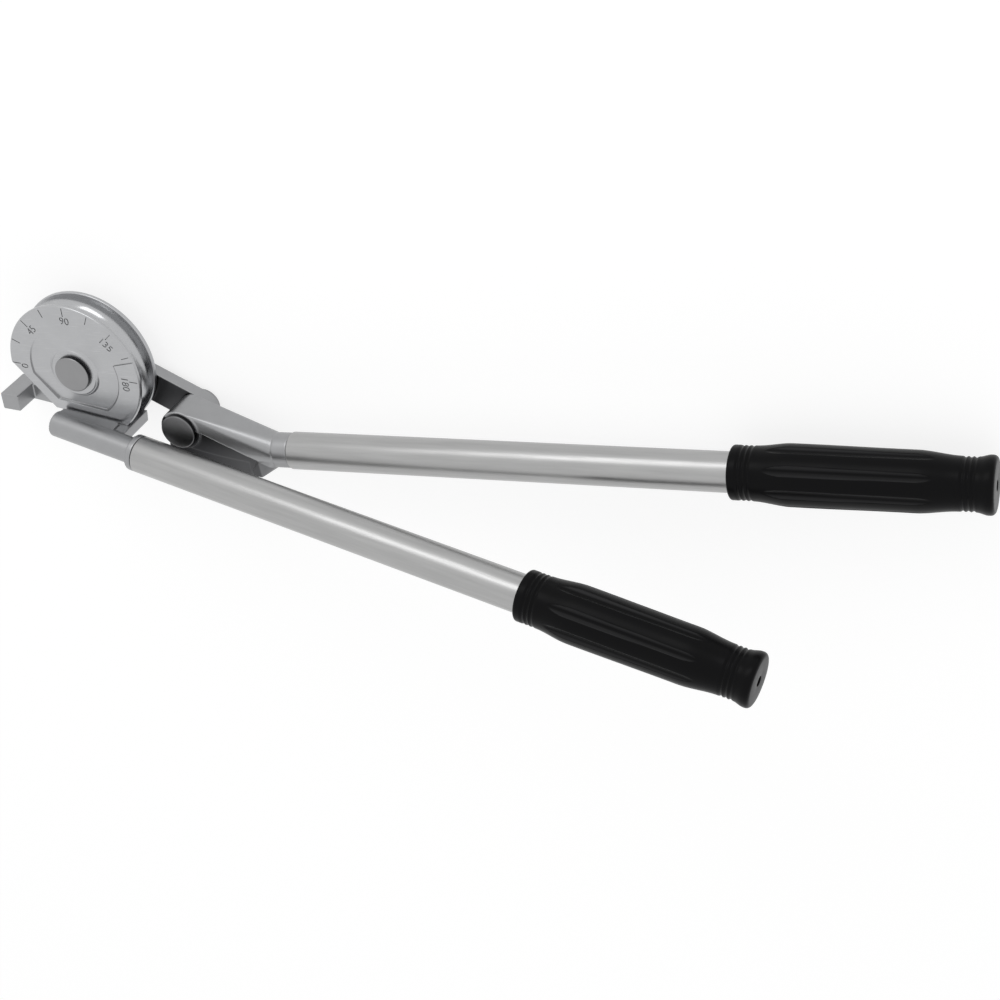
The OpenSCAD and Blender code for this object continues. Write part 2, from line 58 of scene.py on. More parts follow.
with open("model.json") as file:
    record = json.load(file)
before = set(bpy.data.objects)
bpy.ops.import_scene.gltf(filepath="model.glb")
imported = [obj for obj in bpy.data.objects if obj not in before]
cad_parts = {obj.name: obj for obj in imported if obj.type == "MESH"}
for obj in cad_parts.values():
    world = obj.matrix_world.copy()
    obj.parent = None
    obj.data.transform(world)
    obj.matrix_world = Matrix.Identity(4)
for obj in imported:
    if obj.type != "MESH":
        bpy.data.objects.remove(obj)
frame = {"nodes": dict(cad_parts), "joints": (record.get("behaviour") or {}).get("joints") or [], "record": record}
CAD_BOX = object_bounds()

MM = 0.001
WELD = 1e-6
# Faces that turn less than this against each other are one flat face
FLAT = math.radians(1)
WHITE = (1.0, 1.0, 1.0, 1.0)
# A lathe turns its profile about X, and this carries that axis to Z
TURN_UP = Matrix(((0, 1, 0, 0), (0, 0, 1, 0), (1, 0, 0, 0), (0, 0, 0, 1)))
# Name of the attribute that holds each face's share of painted tone: painted shade on the steel pieces, lighter
# vinyl and painted sheen on the grips
TONE_ATTRIBUTE = "skin"


def record_entry(rows, name):
    """The packed record's row of that name."""
    return next(row for row in rows if row["name"] == name)


def handle_frame(mount_name):
    """Frame of a handle: X along it, Y in the wheel's plane, origin in the outer face of its grip."""
    mount = record_entry(frame["record"]["mounts"], mount_name)
    x = Vector(mount["axis"]).normalized()
    y = Vector((0, 0, 1)).cross(x).normalized()
    z = x.cross(y)
    origin = Vector(mount["pos_m"]) + x * mount["dims"]["length_mm"] * MM / 2
    turn = Matrix((x, y, z)).transposed().to_4x4()
    return Matrix.Translation(origin) @ turn


UPPER = handle_frame("upper_grip_hole")
LOWER = handle_frame("lower_grip_hole")
LINK_PIN = Vector(record_entry(frame["joints"], "handle_swing")["pos_m"])
WHEEL_LOW, WHEEL_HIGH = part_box("forming_wheel")
GRIP_LOW, GRIP_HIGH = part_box("upper_grip")
# The floor lies a hair under the tool, so that no face is in its plane
FLOOR_GAP = 0.05 * MM
FLOOR_Z = CAD_BOX[0].z - FLOOR_GAP


# Sizes and colours

def length(name, description, default):
    """A size in metres, given in millimetres."""
    return FloatProperty(name=name, description=description, default=default * MM, min=0.0,
                         precision=5, subtype="DISTANCE", unit="LENGTH")


def spot(name, description, default):
    """A place in the wheel's plane in metres, given in millimetres."""
    return FloatVectorProperty(name=name, description=description, size=2, unit="LENGTH",
                               default=tuple(value * MM for value in default))


def angle(name, description, default):
    """An angle in radians, given in degrees."""
    return FloatProperty(name=name, description=description, default=math.radians(default),
                         subtype="ANGLE", unit="ROTATION")


def direction(name, description, default):
    """A direction in the frame."""
    return FloatVectorProperty(name=name, description=description, default=default, subtype="DIRECTION")


def colour(name, description, default):
    """A linear colour."""
    return FloatVectorProperty(name=name, description=description, default=default, size=3,
                               min=0.0, max=1.0, subtype="COLOR")


def share(name, description, default):
    """A number from 0 to 1."""
    return FloatProperty(name=name, description=description, default=default, min=0.0, max=1.0,
                         subtype="FACTOR")


def count(name, description, default, least=1):
    """A whole number."""
    return IntProperty(name=name, description=description, default=default, min=least)


class WheelSizes(bpy.types.PropertyGroup):
    """Sizes of the forming wheel."""

    bend_radius: length("Bend radius", "From the axis to the bent tube's centre line", 38.1)
    groove_radius: length("Groove radius", "Radius of the groove's round bottom", 6.45)
    groove_facets: count("Groove facets", "Facets across the groove", 24)
    bore: length("Bore", "Radius of the hole for the centre pin", 6.02)
    boss: length("Boss", "Radius of the boss around the centre pin", 13.8)
    rim_round: length("Rim rounding", "Rounding of the flanges' outer edges", 1.0)
    lip_round: length("Lip rounding", "Rounding where the groove meets the flanges", 0.7)
    step_round: length("Step rounding", "Rounding of the boss and the back ring", 0.4)
    boss_lean: angle("Boss lean", "Lean of the boss's side", 50)
    flat_drop: length("Flat distance", "From the axis to the flat on the bracket's shelf", 26.4)
    slant_drop: length("Slant distance", "From the axis to the slanted flat", 29.2)
    slant_turn: angle("Slant direction", "Direction that the slanted flat faces", 214)
    sunk_radius: length("Sunken radius", "Radius of the sunken face", 27)
    sunk_depth: length("Sunken depth", "Depth of the sunken face at the axis", 0.8)
    sunk_slope: angle("Sunken slope", "Slope of the sunken face, deepest at the bottom", 1.9)
    sunk_from: angle("Run-out start", "Direction where the sunken face starts running out to the rim", 9.4)
    sunk_to: angle("Run-out end", "Direction where the sunken face stops running out", 117)
    rib: length("Rib width", "Width of the raised ribs along the flats", 6.2)
    wall_width: length("Wall width", "Width of the soft wall around the sunken face", 1.4)
    edge: length("Edge rounding", "Rounding of the flats' edges", 0.35)
    hub: length("Back hub", "Radius of the hub on the back face", 15.8)
    ring_depth: length("Back ring depth", "Depth of the ring in the back face", 1.5)
    segments: count("Segments", "Facets around the wheel", 240, 48)
    # Painted shade on the sunken face's wall and in the marks' recesses
    grime: share("Grime", "Dark grime on the sunken face's wall and in the marks", 0.55)
    mark_step: angle("Mark step", "Angle between neighbouring marks", 22.5)
    mark_first: angle("First mark", "Direction of the zero mark", 171.9)
    mark_count: count("Marks", "Number of marks", 9, 2)
    mark_length: length("Mark length", "Length of a mark", 5)
    mark_width: length("Mark width", "Width of a mark", 0.45)
    mark_depth: length("Mark depth", "Depth of a mark and of the numerals", 0.35)
    numeral: length("Numeral height", "Height of the numerals", 6.0)
    numeral_at: length("Numeral place", "From the axis to the numerals' middle", 31.2)
    numeral_lead: length("Numeral lead", "How far before its mark a numeral starts", 2.6)


class PinSizes(bpy.types.PropertyGroup):
    """Sizes of the two headed pivot pins."""

    shaft: length("Shaft radius", "Radius of the pins' shafts", 6)
    tail: length("Tail radius", "Radius of the link pin's reduced tail", 5)
    head: length("Head height", "Height of the pin heads", 2.5)
    rim: length("Rim rounding", "Rounding of the heads' rims", 0.75)
    crown: length("Crown", "Height of the heads' slight crown", 0.15)
    edge: length("Edge rounding", "Rounding of the other edges", 0.25)
    groove: length("Clip groove", "Depth of the grooves for the clips", 0.8)
    # Painted shade on the link pin's head, which faces dark parts
    link_skin: share("Link pin's skin", "Dark skin left on the link pin's head", 0.45)
    segments: count("Segments", "Facets around a pin", 128, 24)


class SteelSizes(bpy.types.PropertyGroup):
    """Edges and painted shade of the forged and flat steel pieces, and the tubes."""

    voxel: length("Forging grain", "Voxel size of the forged pieces", 0.36)
    bar_voxel: length("Bar grain", "Voxel size of the link and the hook", 0.32)
    passes: count("Blending", "Smoothing of the forged pieces", 7)
    bar_passes: count("Bar blending", "Smoothing of the link", 3)
    hook_passes: count("Hook blending", "Smoothing of the hook", 14)
    crease: angle("Crease", "Edges of forged pieces sharper than this stay sharp", 60)
    ridge_from: spot("Ridge start", "Ridge over the shoe's sunken side, from the link pin", (10.6, -1.3))
    ridge_to: spot("Ridge end", "Where that ridge ends", (42.4, -18.5))
    # Painted shade on the shoe's sides below its ridge and on its underside
    web_fade: share("Web fade", "How much the shoe's skin fades along its ridge", 0.2)
    web_end_fade: share("Web end fade", "How much more it fades past the ridge's end", 0.3)
    under_skin: share("Underside skin", "Dark skin left under the shoe", 0.35)
    # Painted shade on the link's flat faces
    link_skin: share("Link skin", "Dark skin left on the link's rolled faces", 0.85)
    edge_angle: angle("Edge angle", "Edges sharper than this are rounded", 35)
    edge_segments: count("Edge segments", "Facets of a rounded edge", 3)
    fitting_edge: length("Fitting edge", "Rounding of washers, clips and screws", 0.12)
    fitting_segments: count("Fitting segments", "Facets of that rounding", 2)
    tube: length("Tube radius", "Outside radius of the handle tubes", 10)
    tube_wall: length("Tube wall", "Wall of the handle tubes", 1.5)
    tube_edge: length("Tube edge", "Rounding of the tubes' butted ends", 0.5)
    tube_gap: length("Tube gap", "Open joint between a tube and the shoulder that it butts on", 0.35)
    tube_segments: count("Tube segments", "Facets around a tube", 96, 24)
    pin_hole: length("Roll pin hole", "Radius of the holes for the roll pins", 1.52)
    pin_hole_at: length("Roll pin place", "From a tube's butted end to its roll pin", 14)


class GripSizes(bpy.types.PropertyGroup):
    """Sizes of the moulded grips, along the handle from the tube outwards."""

    long: length("Length", "Length of a grip", (GRIP_HIGH.x - GRIP_LOW.x) / MM)
    bore: length("Bore", "Radius of the bore on the tube", 10.02)
    bore_end: length("End wall", "From the bore's bottom to the grip's outer face", 12)
    collar: length("Collar radius", "Radius of the collar at the tube", 13.3)
    collar_edge: length("Collar edge", "Rounding of the collar's outer edge", 1.2)
    rings: count("Rings", "Number of rings on the collar and on the neck", 3)
    rings_from: length("First rings", "From the tube's end to the collar's rings", 3.9)
    ring_pitch: length("Ring pitch", "From ring to ring", 2.4)
    ring_depth: length("Ring depth", "Depth of the grooves between rings", 0.65)
    barrel: length("Barrel radius", "Largest radius of the barrel", 15.1)
    barrel_far: length("Barrel's far radius", "Radius of the barrel before its far taper", 14.6)
    rise_end: length("Rise end", "Where the barrel reaches its full radius", 29)
    fall_start: length("Fall start", "Where the barrel's far taper starts", 86)
    neck_at: length("Neck start", "Where the neck starts", 106.5)
    neck: length("Neck radius", "Radius of the neck behind the knob", 12.7)
    knob_at: length("Knob start", "Where the knob is full", 119)
    knob: length("Knob radius", "Radius of the end knob", 13.8)
    knob_edge: length("Knob edge", "Rounding of the knob's outer edge", 2.2)
    hole: length("End hole", "Radius of the hole in the end", 2.5)
    hole_depth: length("End hole depth", "Depth of that hole", 10)
    hole_edge: length("End hole edge", "Rounding of that hole's mouth", 0.5)
    flutes: count("Flutes", "Number of flutes around the barrel", 8, 3)
    flute_radius: length("Flute radius", "Radius of a flute's section", 3.4)
    flute_depth: length("Flute depth", "Depth of a flute in the barrel", 1.3)
    flute_turn: angle("First flute", "Turn of the first flute away from the wheel's plane", 6)
    flute_soft: length("Flute edge", "Softness of the flutes' edges", 0.15)
    columns: count("Columns", "Facets around a grip", 256, 48)
    row: length("Row", "Distance between rings of facets along a grip", 0.5)
    crease: angle("Crease", "Edges of a grip sharper than this stay sharp", 50)


class Finishes(bpy.types.PropertyGroup):
    """Colours of the materials."""

    plate: colour("Plated wheel", "Bright plating of the forming wheel", (0.47, 0.475, 0.485))
    plate_scratched: colour("Scratched plating", "Plating where it is scratched", (0.72, 0.72, 0.73))
    satin: colour("Forged steel", "Satin plating of the forged pieces", (0.36, 0.363, 0.37))
    tube: colour("Tube steel", "Satin plating of the tubes", (0.46, 0.46, 0.458))
    tube_worn: colour("Rubbed tube", "Tube steel where it is rubbed bright", (0.62, 0.62, 0.62))
    pin: colour("Pin steel", "Turned steel of the pins", (0.3, 0.3, 0.305))
    # Painted shade: the dark tone put on steel faces that lie in shade, in gaps and recesses, or that face dark
    # parts
    scale: colour("Forging scale", "Dark skin left on forged and turned steel", (0.02, 0.02, 0.022))
    dark: colour("Dark steel", "Blackened steel of clips and screws", (0.045, 0.046, 0.05))
    dark_worn: colour("Worn dark steel", "Blackened steel where it is rubbed", (0.2, 0.2, 0.2))
    bronze: colour("Bronze", "Bearing bushes and spacers", (0.5, 0.33, 0.14))
    bronze_worn: colour("Worn bronze", "Bronze where it runs", (0.68, 0.5, 0.26))
    vinyl: colour("Grip vinyl", "Black vinyl of the grips", (0.0028, 0.0028, 0.0032))
    # Lighter vinyl on the grips' end faces, and painted sheen on the flutes' walls
    vinyl_rubbed: colour("Rubbed vinyl", "Vinyl on the grips' end faces and flutes", (0.022, 0.022, 0.023))
    floor: colour("Floor", "Pale floor, as it lights the tool", (0.8, 0.8, 0.8))
    floor_seen: colour("Seen floor", "Floor under its glow, as the camera sees it", (0.3, 0.3, 0.3))


class StageSettings(bpy.types.PropertyGroup):
    """Camera, lights and floor."""

    lens: FloatProperty(name="Lens", description="Focal length", default=61.2, subtype="DISTANCE_CAMERA")
    sensor: FloatProperty(name="Sensor", description="Width of the camera's picture", default=36.0,
                          subtype="DISTANCE_CAMERA")
    camera_at: FloatVectorProperty(name="Camera place", description="Where the camera stands",
                                   default=(0.56935, 0.38409, 0.65863), subtype="XYZ", unit="LENGTH")
    camera_forward: direction("View direction", "Direction that the camera looks",
                              (-0.38801113, -0.52548821, -0.75717204))
    camera_right: direction("View right", "The picture's right side", (0.92001238, -0.17181117, -0.35221889))
    key_from: direction("Key direction", "Direction that the strip light stands in", (-0.39, 0.83, 0.39))
    key_power: FloatProperty(name="Key power", description="Power of the strip light", default=2.6,
                             subtype="POWER", unit="POWER")
    key_away: length("Key distance", "From the middle of the tool to the strip light", 1200)
    key_shift: length("Key shift", "How far the strip light stands towards the grips", 370)
    key_long: length("Key length", "Length of the strip light, along the handles", 900)
    key_wide: length("Key width", "Width of the strip light", 450)
    ambient: share("Ambient", "Strength of the plain surroundings", 0.7)
    floor_glow: share("Floor glow", "Glow of the floor that the camera sees", 0.78)
    floor_reach: length("Floor reach", "From the origin to the floor's edges", 4000)


SETTINGS = {
    "bender_wheel": WheelSizes,
    "bender_pins": PinSizes,
    "bender_steel": SteelSizes,
    "bender_grips": GripSizes,
    "bender_finishes": Finishes,
    "bender_stage": StageSettings,
}


# Meshes

def link_object(name, mesh):
    """A new object with that mesh, at the origin."""
    piece = bpy.data.objects.new(name, mesh)
    bpy.context.scene.collection.objects.link(piece)
    return piece


def to_mesh(bm, name):
    """A plain mesh of a bmesh, which is freed."""
    mesh = bpy.data.meshes.new(name)
    bm.to_mesh(mesh)
    bm.free()
    return mesh


def bake_modifiers(piece):
    """Turns a piece's modifiers into its plain mesh."""
    graph = bpy.context.evaluated_depsgraph_get()
    mesh = bpy.data.meshes.new_from_object(piece.evaluated_get(graph))
    piece.modifiers.clear()
    piece.data = mesh


def carve(piece, cutter):
    """Cuts one closed mesh out of another, and removes the cutter."""
    cut = piece.modifiers.new("Carve", "BOOLEAN")
    cut.operation = "DIFFERENCE"
    cut.solver = "MANIFOLD"
    cut.object = cutter
    bake_modifiers(piece)
    bpy.data.objects.remove(cutter)


def ramp(value, low, high):
    """0 up to low, 1 from high, and straight between."""
    return min(max((value - low) / (high - low), 0.0), 1.0)


def ease(value):
    """0 up to 0, 1 from 1, and a soft rise between."""
    t = ramp(value, 0.0, 1.0)
    return t * t * (3 - 2 * t)


def filleted(corners, steps=6):
    """The closed outline through (along, radius, rounding) corners, with the rounded ones as arcs."""
    path = []
    for i, (along, radius, rounding) in enumerate(corners):
        here = Vector((along, radius))
        if rounding == 0:
            path.append(here)
            continue
        before = corners[i - 1]
        after = corners[(i + 1) % len(corners)]
        back = (Vector(before[:2]) - here).normalized()
        ahead = (Vector(after[:2]) - here).normalized()
        half = back.angle(ahead) / 2
        reach = rounding / math.tan(half)
        centre = here + (back + ahead).normalized() * rounding / math.sin(half)
        start = here + back * reach - centre
        end = here + ahead * reach - centre
        for k in range(steps + 1):
            path.append(centre + start.normalized().slerp(end.normalized(), k / steps) * rounding)
    return path


def lathe(outline, segments, closed=True):
    """Turns an outline of (along, radius) points about X. An open one ends on the axis."""
    bm = bmesh.new()
    rings = []
    for along, radius in outline:
        turns = 1 if radius < WELD else segments
        steps = [2 * math.pi * k / turns for k in range(turns)]
        rings.append([bm.verts.new((along, radius * math.cos(t), radius * math.sin(t))) for t in steps])
    pairs = list(zip(rings, rings[1:]))
    if closed:
        pairs.append((rings[-1], rings[0]))
    for first, second in pairs:
        for k in range(segments):
            n = (k + 1) % segments
            around = (first[k % len(first)], first[n % len(first)],
                      second[n % len(second)], second[k % len(second)])
            corners = list(dict.fromkeys(around))
            if len(corners) > 2:
                bm.faces.new(corners)
    bmesh.ops.recalc_face_normals(bm, faces=bm.faces)
    return bm


def close_up(bm):
    """Merges doubles and points the faces outwards."""
    bmesh.ops.remove_doubles(bm, verts=bm.verts, dist=WELD)
    bmesh.ops.recalc_face_normals(bm, faces=bm.faces)


def cut_flat(bm, distance, turn):
    """Cuts a solid off at a plane that faces a direction in the wheel's plane."""
    facing = Vector((math.cos(turn), math.sin(turn), 0))
    cut = bmesh.ops.bisect_plane(bm, geom=bm.verts[:] + bm.edges[:] + bm.faces[:], dist=WELD,
                                 plane_co=facing * distance, plane_no=facing, clear_outer=True)
    rim = [part for part in cut["geom_cut"] if isinstance(part, bmesh.types.BMEdge)]
    bmesh.ops.edgeloop_fill(bm, edges=rim)


def soften(bm, width, sharper_than, segments):
    """Rounds the edges that are sharp and whose two faces are wide enough for it."""
    def wide(edge):
        return all(face.calc_area() > 2 * width * edge.calc_length() for face in edge.link_faces)

    edges = [e for e in bm.edges if e.is_manifold and e.calc_face_angle() > sharper_than and wide(e)]
    bmesh.ops.bevel(bm, geom=edges, offset=width, offset_type="OFFSET", segments=segments, profile=0.5,
                    affect="EDGES", clamp_overlap=False)


def welded_copy(node):
    """A CAD node's shape as one welded bmesh with whole flat faces."""
    bm = bmesh.new()
    bm.from_mesh(frame["nodes"][node].data)
    bmesh.ops.remove_doubles(bm, verts=bm.verts, dist=WELD)
    bmesh.ops.dissolve_limit(bm, angle_limit=FLAT, verts=bm.verts, edges=bm.edges)
    return bm


def smooth_shading(mesh, crease):
    """Shades a mesh smooth, except across edges sharper than the crease."""
    mesh.shade_smooth()
    mesh.set_sharp_from_angle(angle=crease)


def keep_skin(piece, rule):
    """Stores on each face its share of painted tone, by the face's middle and normal."""
    skin = piece.data.attributes.new(TONE_ATTRIBUTE, "FLOAT", "FACE")
    for face, kept in zip(piece.data.polygons, skin.data):
        kept.value = rule(face.center, face.normal)


def finish_piece(piece, node, body, material):
    """Gives a piece its material and sets it on the frame in a CAD node's place."""
    piece.data.materials.clear()
    piece.data.materials.append(material)
    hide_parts(node)
    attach(piece, body)


# Node trees

def feed(tree, socket, value):
    """Links another socket to an input, or sets the input to a value."""
    if isinstance(value, bpy.types.NodeSocket):
        tree.links.new(value, socket)
    else:
        socket.default_value = value


def wire(tree, node, **values):
    """Sets a node up: a capitalised name is an input, with underscores for spaces, any other a setting."""
    for name, value in values.items():
        if name[0].isupper():
            feed(tree, node.inputs[name.replace("_", " ")], value)
        else:
            setattr(node, name, value)
    return node


def add_node(tree, kind, **values):
    """A new node, set up by its values."""
    return wire(tree, tree.nodes.new(kind), **values)


def math_node(tree, operation, *values):
    """The output of a math node whose inputs are sockets or numbers."""
    made = add_node(tree, "ShaderNodeMath", operation=operation)
    for socket, value in zip(made.inputs, values):
        feed(tree, socket, value)
    return made.outputs[0]


def new_tree(name, kind, inputs, outputs):
    """A node group with its sockets' names listed by type, its input node's outputs and its output node."""
    tree = bpy.data.node_groups.new(name, kind)
    for way, sockets in (("INPUT", inputs), ("OUTPUT", outputs)):
        for socket_type, names in sockets.items():
            for socket_name in names:
                tree.interface.new_socket(socket_name, in_out=way, socket_type="NodeSocket" + socket_type)
    entry = tree.nodes.new("NodeGroupInput")
    leave = tree.nodes.new("NodeGroupOutput")
    return tree, entry.outputs, leave


def end_geometry(tree, geometry, material, leave):
    """Ends a geometry tree in real mesh with its material."""
    real = add_node(tree, "GeometryNodeRealizeInstances", Geometry=geometry)
    painted = add_node(tree, "GeometryNodeSetMaterial", Geometry=real.outputs[0], Material=material)
    wire(tree, leave, Geometry=painted.outputs[0])


def run_tree(piece, tree, values):
    """Runs a geometry tree on a piece with its inputs set by name, and keeps the plain mesh."""
    modifier = piece.modifiers.new(tree.name, "NODES")
    modifier.node_group = tree
    for item in tree.interface.items_tree:
        if item.in_out == "INPUT" and item.name in values:
            modifier[item.identifier] = values[item.name]
    bake_modifiers(piece)


def grip_tree():
    """Turns a section about X and presses round flutes along it."""
    tree, entry, leave = new_tree(
        "Fluted grip", "GeometryNodeTree",
        {"Geometry": ["Section"], "Int": ["Rows", "Columns", "Flutes"],
         "Float": ["First Flute", "Flute Radius", "Flute Axis", "Softness"], "Material": ["Material"]},
        {"Geometry": ["Geometry"]})
    add = partial(add_node, tree)
    calc = partial(math_node, tree)
    per_row = calc("ADD", entry["Columns"], 1.0)
    grid = add("GeometryNodeMeshGrid", Vertices_X=entry["Rows"], Vertices_Y=per_row)
    index = add("GeometryNodeInputIndex").outputs[0]
    row = calc("FLOOR", calc("DIVIDE", index, per_row))
    column = calc("FLOORED_MODULO", index, per_row)
    turn = calc("DIVIDE", calc("MULTIPLY", column, 2 * math.pi), entry["Columns"])
    place = add("GeometryNodeInputPosition").outputs[0]
    sample = add("GeometryNodeSampleIndex", data_type="FLOAT_VECTOR", domain="POINT",
                 Geometry=entry["Section"], Value=place, Index=row)
    section = add("ShaderNodeSeparateXYZ", Vector=sample.outputs[0])
    pitch = calc("DIVIDE", 2 * math.pi, entry["Flutes"])
    half_pitch = calc("MULTIPLY", pitch, 0.5)
    past = calc("SUBTRACT", turn, entry["First Flute"])
    off = calc("WRAP", past, half_pitch, calc("MULTIPLY", half_pitch, -1.0))
    across = calc("MULTIPLY", entry["Flute Axis"], calc("SINE", off))
    out = calc("MULTIPLY", entry["Flute Axis"], calc("COSINE", off))
    room = calc("SUBTRACT", calc("POWER", entry["Flute Radius"], 2.0),
                calc("POWER", calc("ABSOLUTE", across), 2.0))
    bite = calc("SQRT", calc("MAXIMUM", room, 0.0))
    floor = calc("SUBTRACT", out, bite)
    radius = calc("SMOOTH_MIN", section.outputs["Y"], floor, entry["Softness"])
    point = add("ShaderNodeCombineXYZ", X=section.outputs["X"],
                Y=calc("MULTIPLY", radius, calc("COSINE", turn)),
                Z=calc("MULTIPLY", radius, calc("SINE", turn)))
    moved = add("GeometryNodeSetPosition", Geometry=grid.outputs["Mesh"], Position=point.outputs[0])
    joined = add("GeometryNodeMergeByDistance", Geometry=moved.outputs[0], Distance=WELD)
    end_geometry(tree, joined.outputs[0], entry["Material"], leave)
    return tree


def marks_tree():
    """Cuts a row of straight marks into the rim of a face, which slopes down between two directions."""
    tree, entry, leave = new_tree(
        "Degree marks", "GeometryNodeTree",
        {"Geometry": ["Blank"], "Int": ["Count"],
         "Float": ["First", "Step", "Middle", "Face", "Length", "Width", "Depth", "Sunken", "Slope",
                   "Sunken From", "Sunken To"],
         "Material": ["Material"]},
        {"Geometry": ["Geometry"]})
    add = partial(add_node, tree)
    calc = partial(math_node, tree)
    size = add("ShaderNodeCombineXYZ", X=entry["Length"], Y=entry["Width"],
               Z=calc("MULTIPLY", entry["Depth"], 2.0))
    bar = add("GeometryNodeMeshCube", Size=size.outputs[0])
    place = add("ShaderNodeCombineXYZ", X=entry["Middle"], Z=entry["Face"])
    set_out = add("GeometryNodeTransform", Geometry=bar.outputs["Mesh"], Translation=place.outputs[0])
    points = add("GeometryNodeMeshLine", Count=entry["Count"], Offset=(0.0, 0.0, 0.0))
    index = add("GeometryNodeInputIndex").outputs[0]
    turn = calc("SUBTRACT", entry["First"], calc("MULTIPLY", index, entry["Step"]))
    rotation = add("ShaderNodeCombineXYZ", Z=turn)
    up = calc("MULTIPLY", calc("SINE", turn), entry["Middle"])
    floor = calc("SUBTRACT", calc("MULTIPLY", up, entry["Slope"]), entry["Sunken"])
    within = calc("MULTIPLY", calc("GREATER_THAN", turn, entry["Sunken From"]),
                  calc("LESS_THAN", turn, entry["Sunken To"]))
    drop = calc("MULTIPLY", calc("MINIMUM", floor, 0.0), within)
    down = add("ShaderNodeCombineXYZ", Z=drop)
    lowered = add("GeometryNodeSetPosition", Geometry=points.outputs["Mesh"], Offset=down.outputs[0])
    row = add("GeometryNodeInstanceOnPoints", Points=lowered.outputs[0], Instance=set_out.outputs[0],
              Rotation=rotation.outputs[0])
    bars = add("GeometryNodeRealizeInstances", Geometry=row.outputs[0])
    cut = add("GeometryNodeMeshBoolean", operation="DIFFERENCE", solver="MANIFOLD",
              Mesh_1=entry["Blank"], Mesh_2=bars.outputs[0])
    end_geometry(tree, cut.outputs["Mesh"], entry["Material"], leave)
    return tree


# Materials

# Edge wear: the pointiness where it starts, how fast it grows, and the size of its patches
WEAR_START = 0.53
WEAR_SPAN = 0.06
WEAR_PATCHES = 350.0
# Scratches: their directions in degrees, the stretch of their noise, where they start, how fast they grow,
# and how much of their colour they show
SCRATCH_TURNS = (20, 75, 140)
SCRATCH_STRETCH = (90.0, 2600.0, 2600.0)
SCRATCH_START = 0.67
SCRATCH_SPAN = 0.08
SCRATCH_SHARE = 0.2
# Streaks of a tube: the stretch of their noise along and across it
TUBE_STRETCH = (9.0, 160.0, 160.0)
GROOVE_ROUGHNESS = 0.2
METAL_BUMP = 0.1 * MM
VINYL_BUMP = 0.15 * MM
# Places of a mix node's sockets
MIX_FACTOR = 0
MIX_NUMBERS = (2, 3)
MIX_NUMBER_OUT = 0
MIX_COLOURS = (6, 7)
MIX_COLOUR_OUT = 2


@cache
def grain_group():
    """Fine grain: a soft mottle and a fine speckle over the surface."""
    tree, entry, leave = new_tree("Fine grain", "ShaderNodeTree",
                                  {"Vector": ["Vector"], "Float": ["Mottle", "Speckle"]},
                                  {"Float": ["Mottle", "Speckle"]})
    noise = partial(add_node, tree, "ShaderNodeTexNoise", Vector=entry["Vector"])
    soft = noise(Scale=entry["Mottle"], Detail=4.0, Roughness=0.55)
    fine = noise(Scale=entry["Speckle"], Detail=3.0, Roughness=0.6)
    wire(tree, leave, Mottle=soft.outputs[0], Speckle=fine.outputs[0])
    return tree


@cache
def scratch_group():
    """Thin straight scratches that cross in three directions."""
    tree, entry, leave = new_tree("Scratches", "ShaderNodeTree",
                                  {"Vector": ["Vector"], "Float": ["Threshold"]}, {"Float": ["Mask"]})
    end = math_node(tree, "ADD", entry["Threshold"], SCRATCH_SPAN)
    mask = 0.0
    for turn in SCRATCH_TURNS:
        lay = add_node(tree, "ShaderNodeMapping", Vector=entry["Vector"], Scale=SCRATCH_STRETCH,
                       Rotation=(0.0, 0.0, math.radians(turn)))
        lines = add_node(tree, "ShaderNodeTexNoise", Vector=lay.outputs[0], Scale=1.0, Detail=1.0)
        thin = add_node(tree, "ShaderNodeMapRange", Value=lines.outputs[0], From_Min=entry["Threshold"],
                        From_Max=end)
        mask = math_node(tree, "MAXIMUM", mask, thin.outputs[0])
    wire(tree, leave, Mask=mask)
    return tree


@cache
def wear_group():
    """Where raised edges are rubbed, broken up by a patchy noise."""
    tree, entry, leave = new_tree("Edge wear", "ShaderNodeTree",
                                  {"Vector": ["Vector"], "Float": ["Start", "Patches"]}, {"Float": ["Mask"]})
    shape = add_node(tree, "ShaderNodeNewGeometry")
    edge = add_node(tree, "ShaderNodeMapRange", Value=shape.outputs["Pointiness"], From_Min=entry["Start"],
                    From_Max=math_node(tree, "ADD", entry["Start"], WEAR_SPAN))
    patch = add_node(tree, "ShaderNodeTexNoise", Vector=entry["Vector"], Scale=entry["Patches"], Detail=3.0)
    broken = add_node(tree, "ShaderNodeMapRange", Value=patch.outputs[0], From_Min=0.35, From_Max=0.6)
    wire(tree, leave, Mask=math_node(tree, "MULTIPLY", edge.outputs[0], broken.outputs[0]))
    return tree


def empty_tree(owner):
    """The emptied node tree of a material or a world."""
    owner.use_nodes = True
    owner.node_tree.nodes.clear()
    return owner.node_tree


def blank_material(name):
    """A material with only its shader, and Object coordinates."""
    material = bpy.data.materials.new(name)
    tree = empty_tree(material)
    shader = add_node(tree, "ShaderNodeBsdfPrincipled")
    add_node(tree, "ShaderNodeOutputMaterial", Surface=shader.outputs[0])
    place = add_node(tree, "ShaderNodeTexCoord").outputs["Object"]
    return material, tree, shader, place


def mix_colour(tree, factor, first, second):
    """Mixes two colours, given as sockets or as colours, by a factor."""
    made = add_node(tree, "ShaderNodeMix", data_type="RGBA")
    feed(tree, made.inputs[MIX_FACTOR], factor)
    for place, value in zip(MIX_COLOURS, (first, second)):
        is_socket = isinstance(value, bpy.types.NodeSocket)
        feed(tree, made.inputs[place], value if is_socket else (*value, 1.0))
    return made.outputs[MIX_COLOUR_OUT]


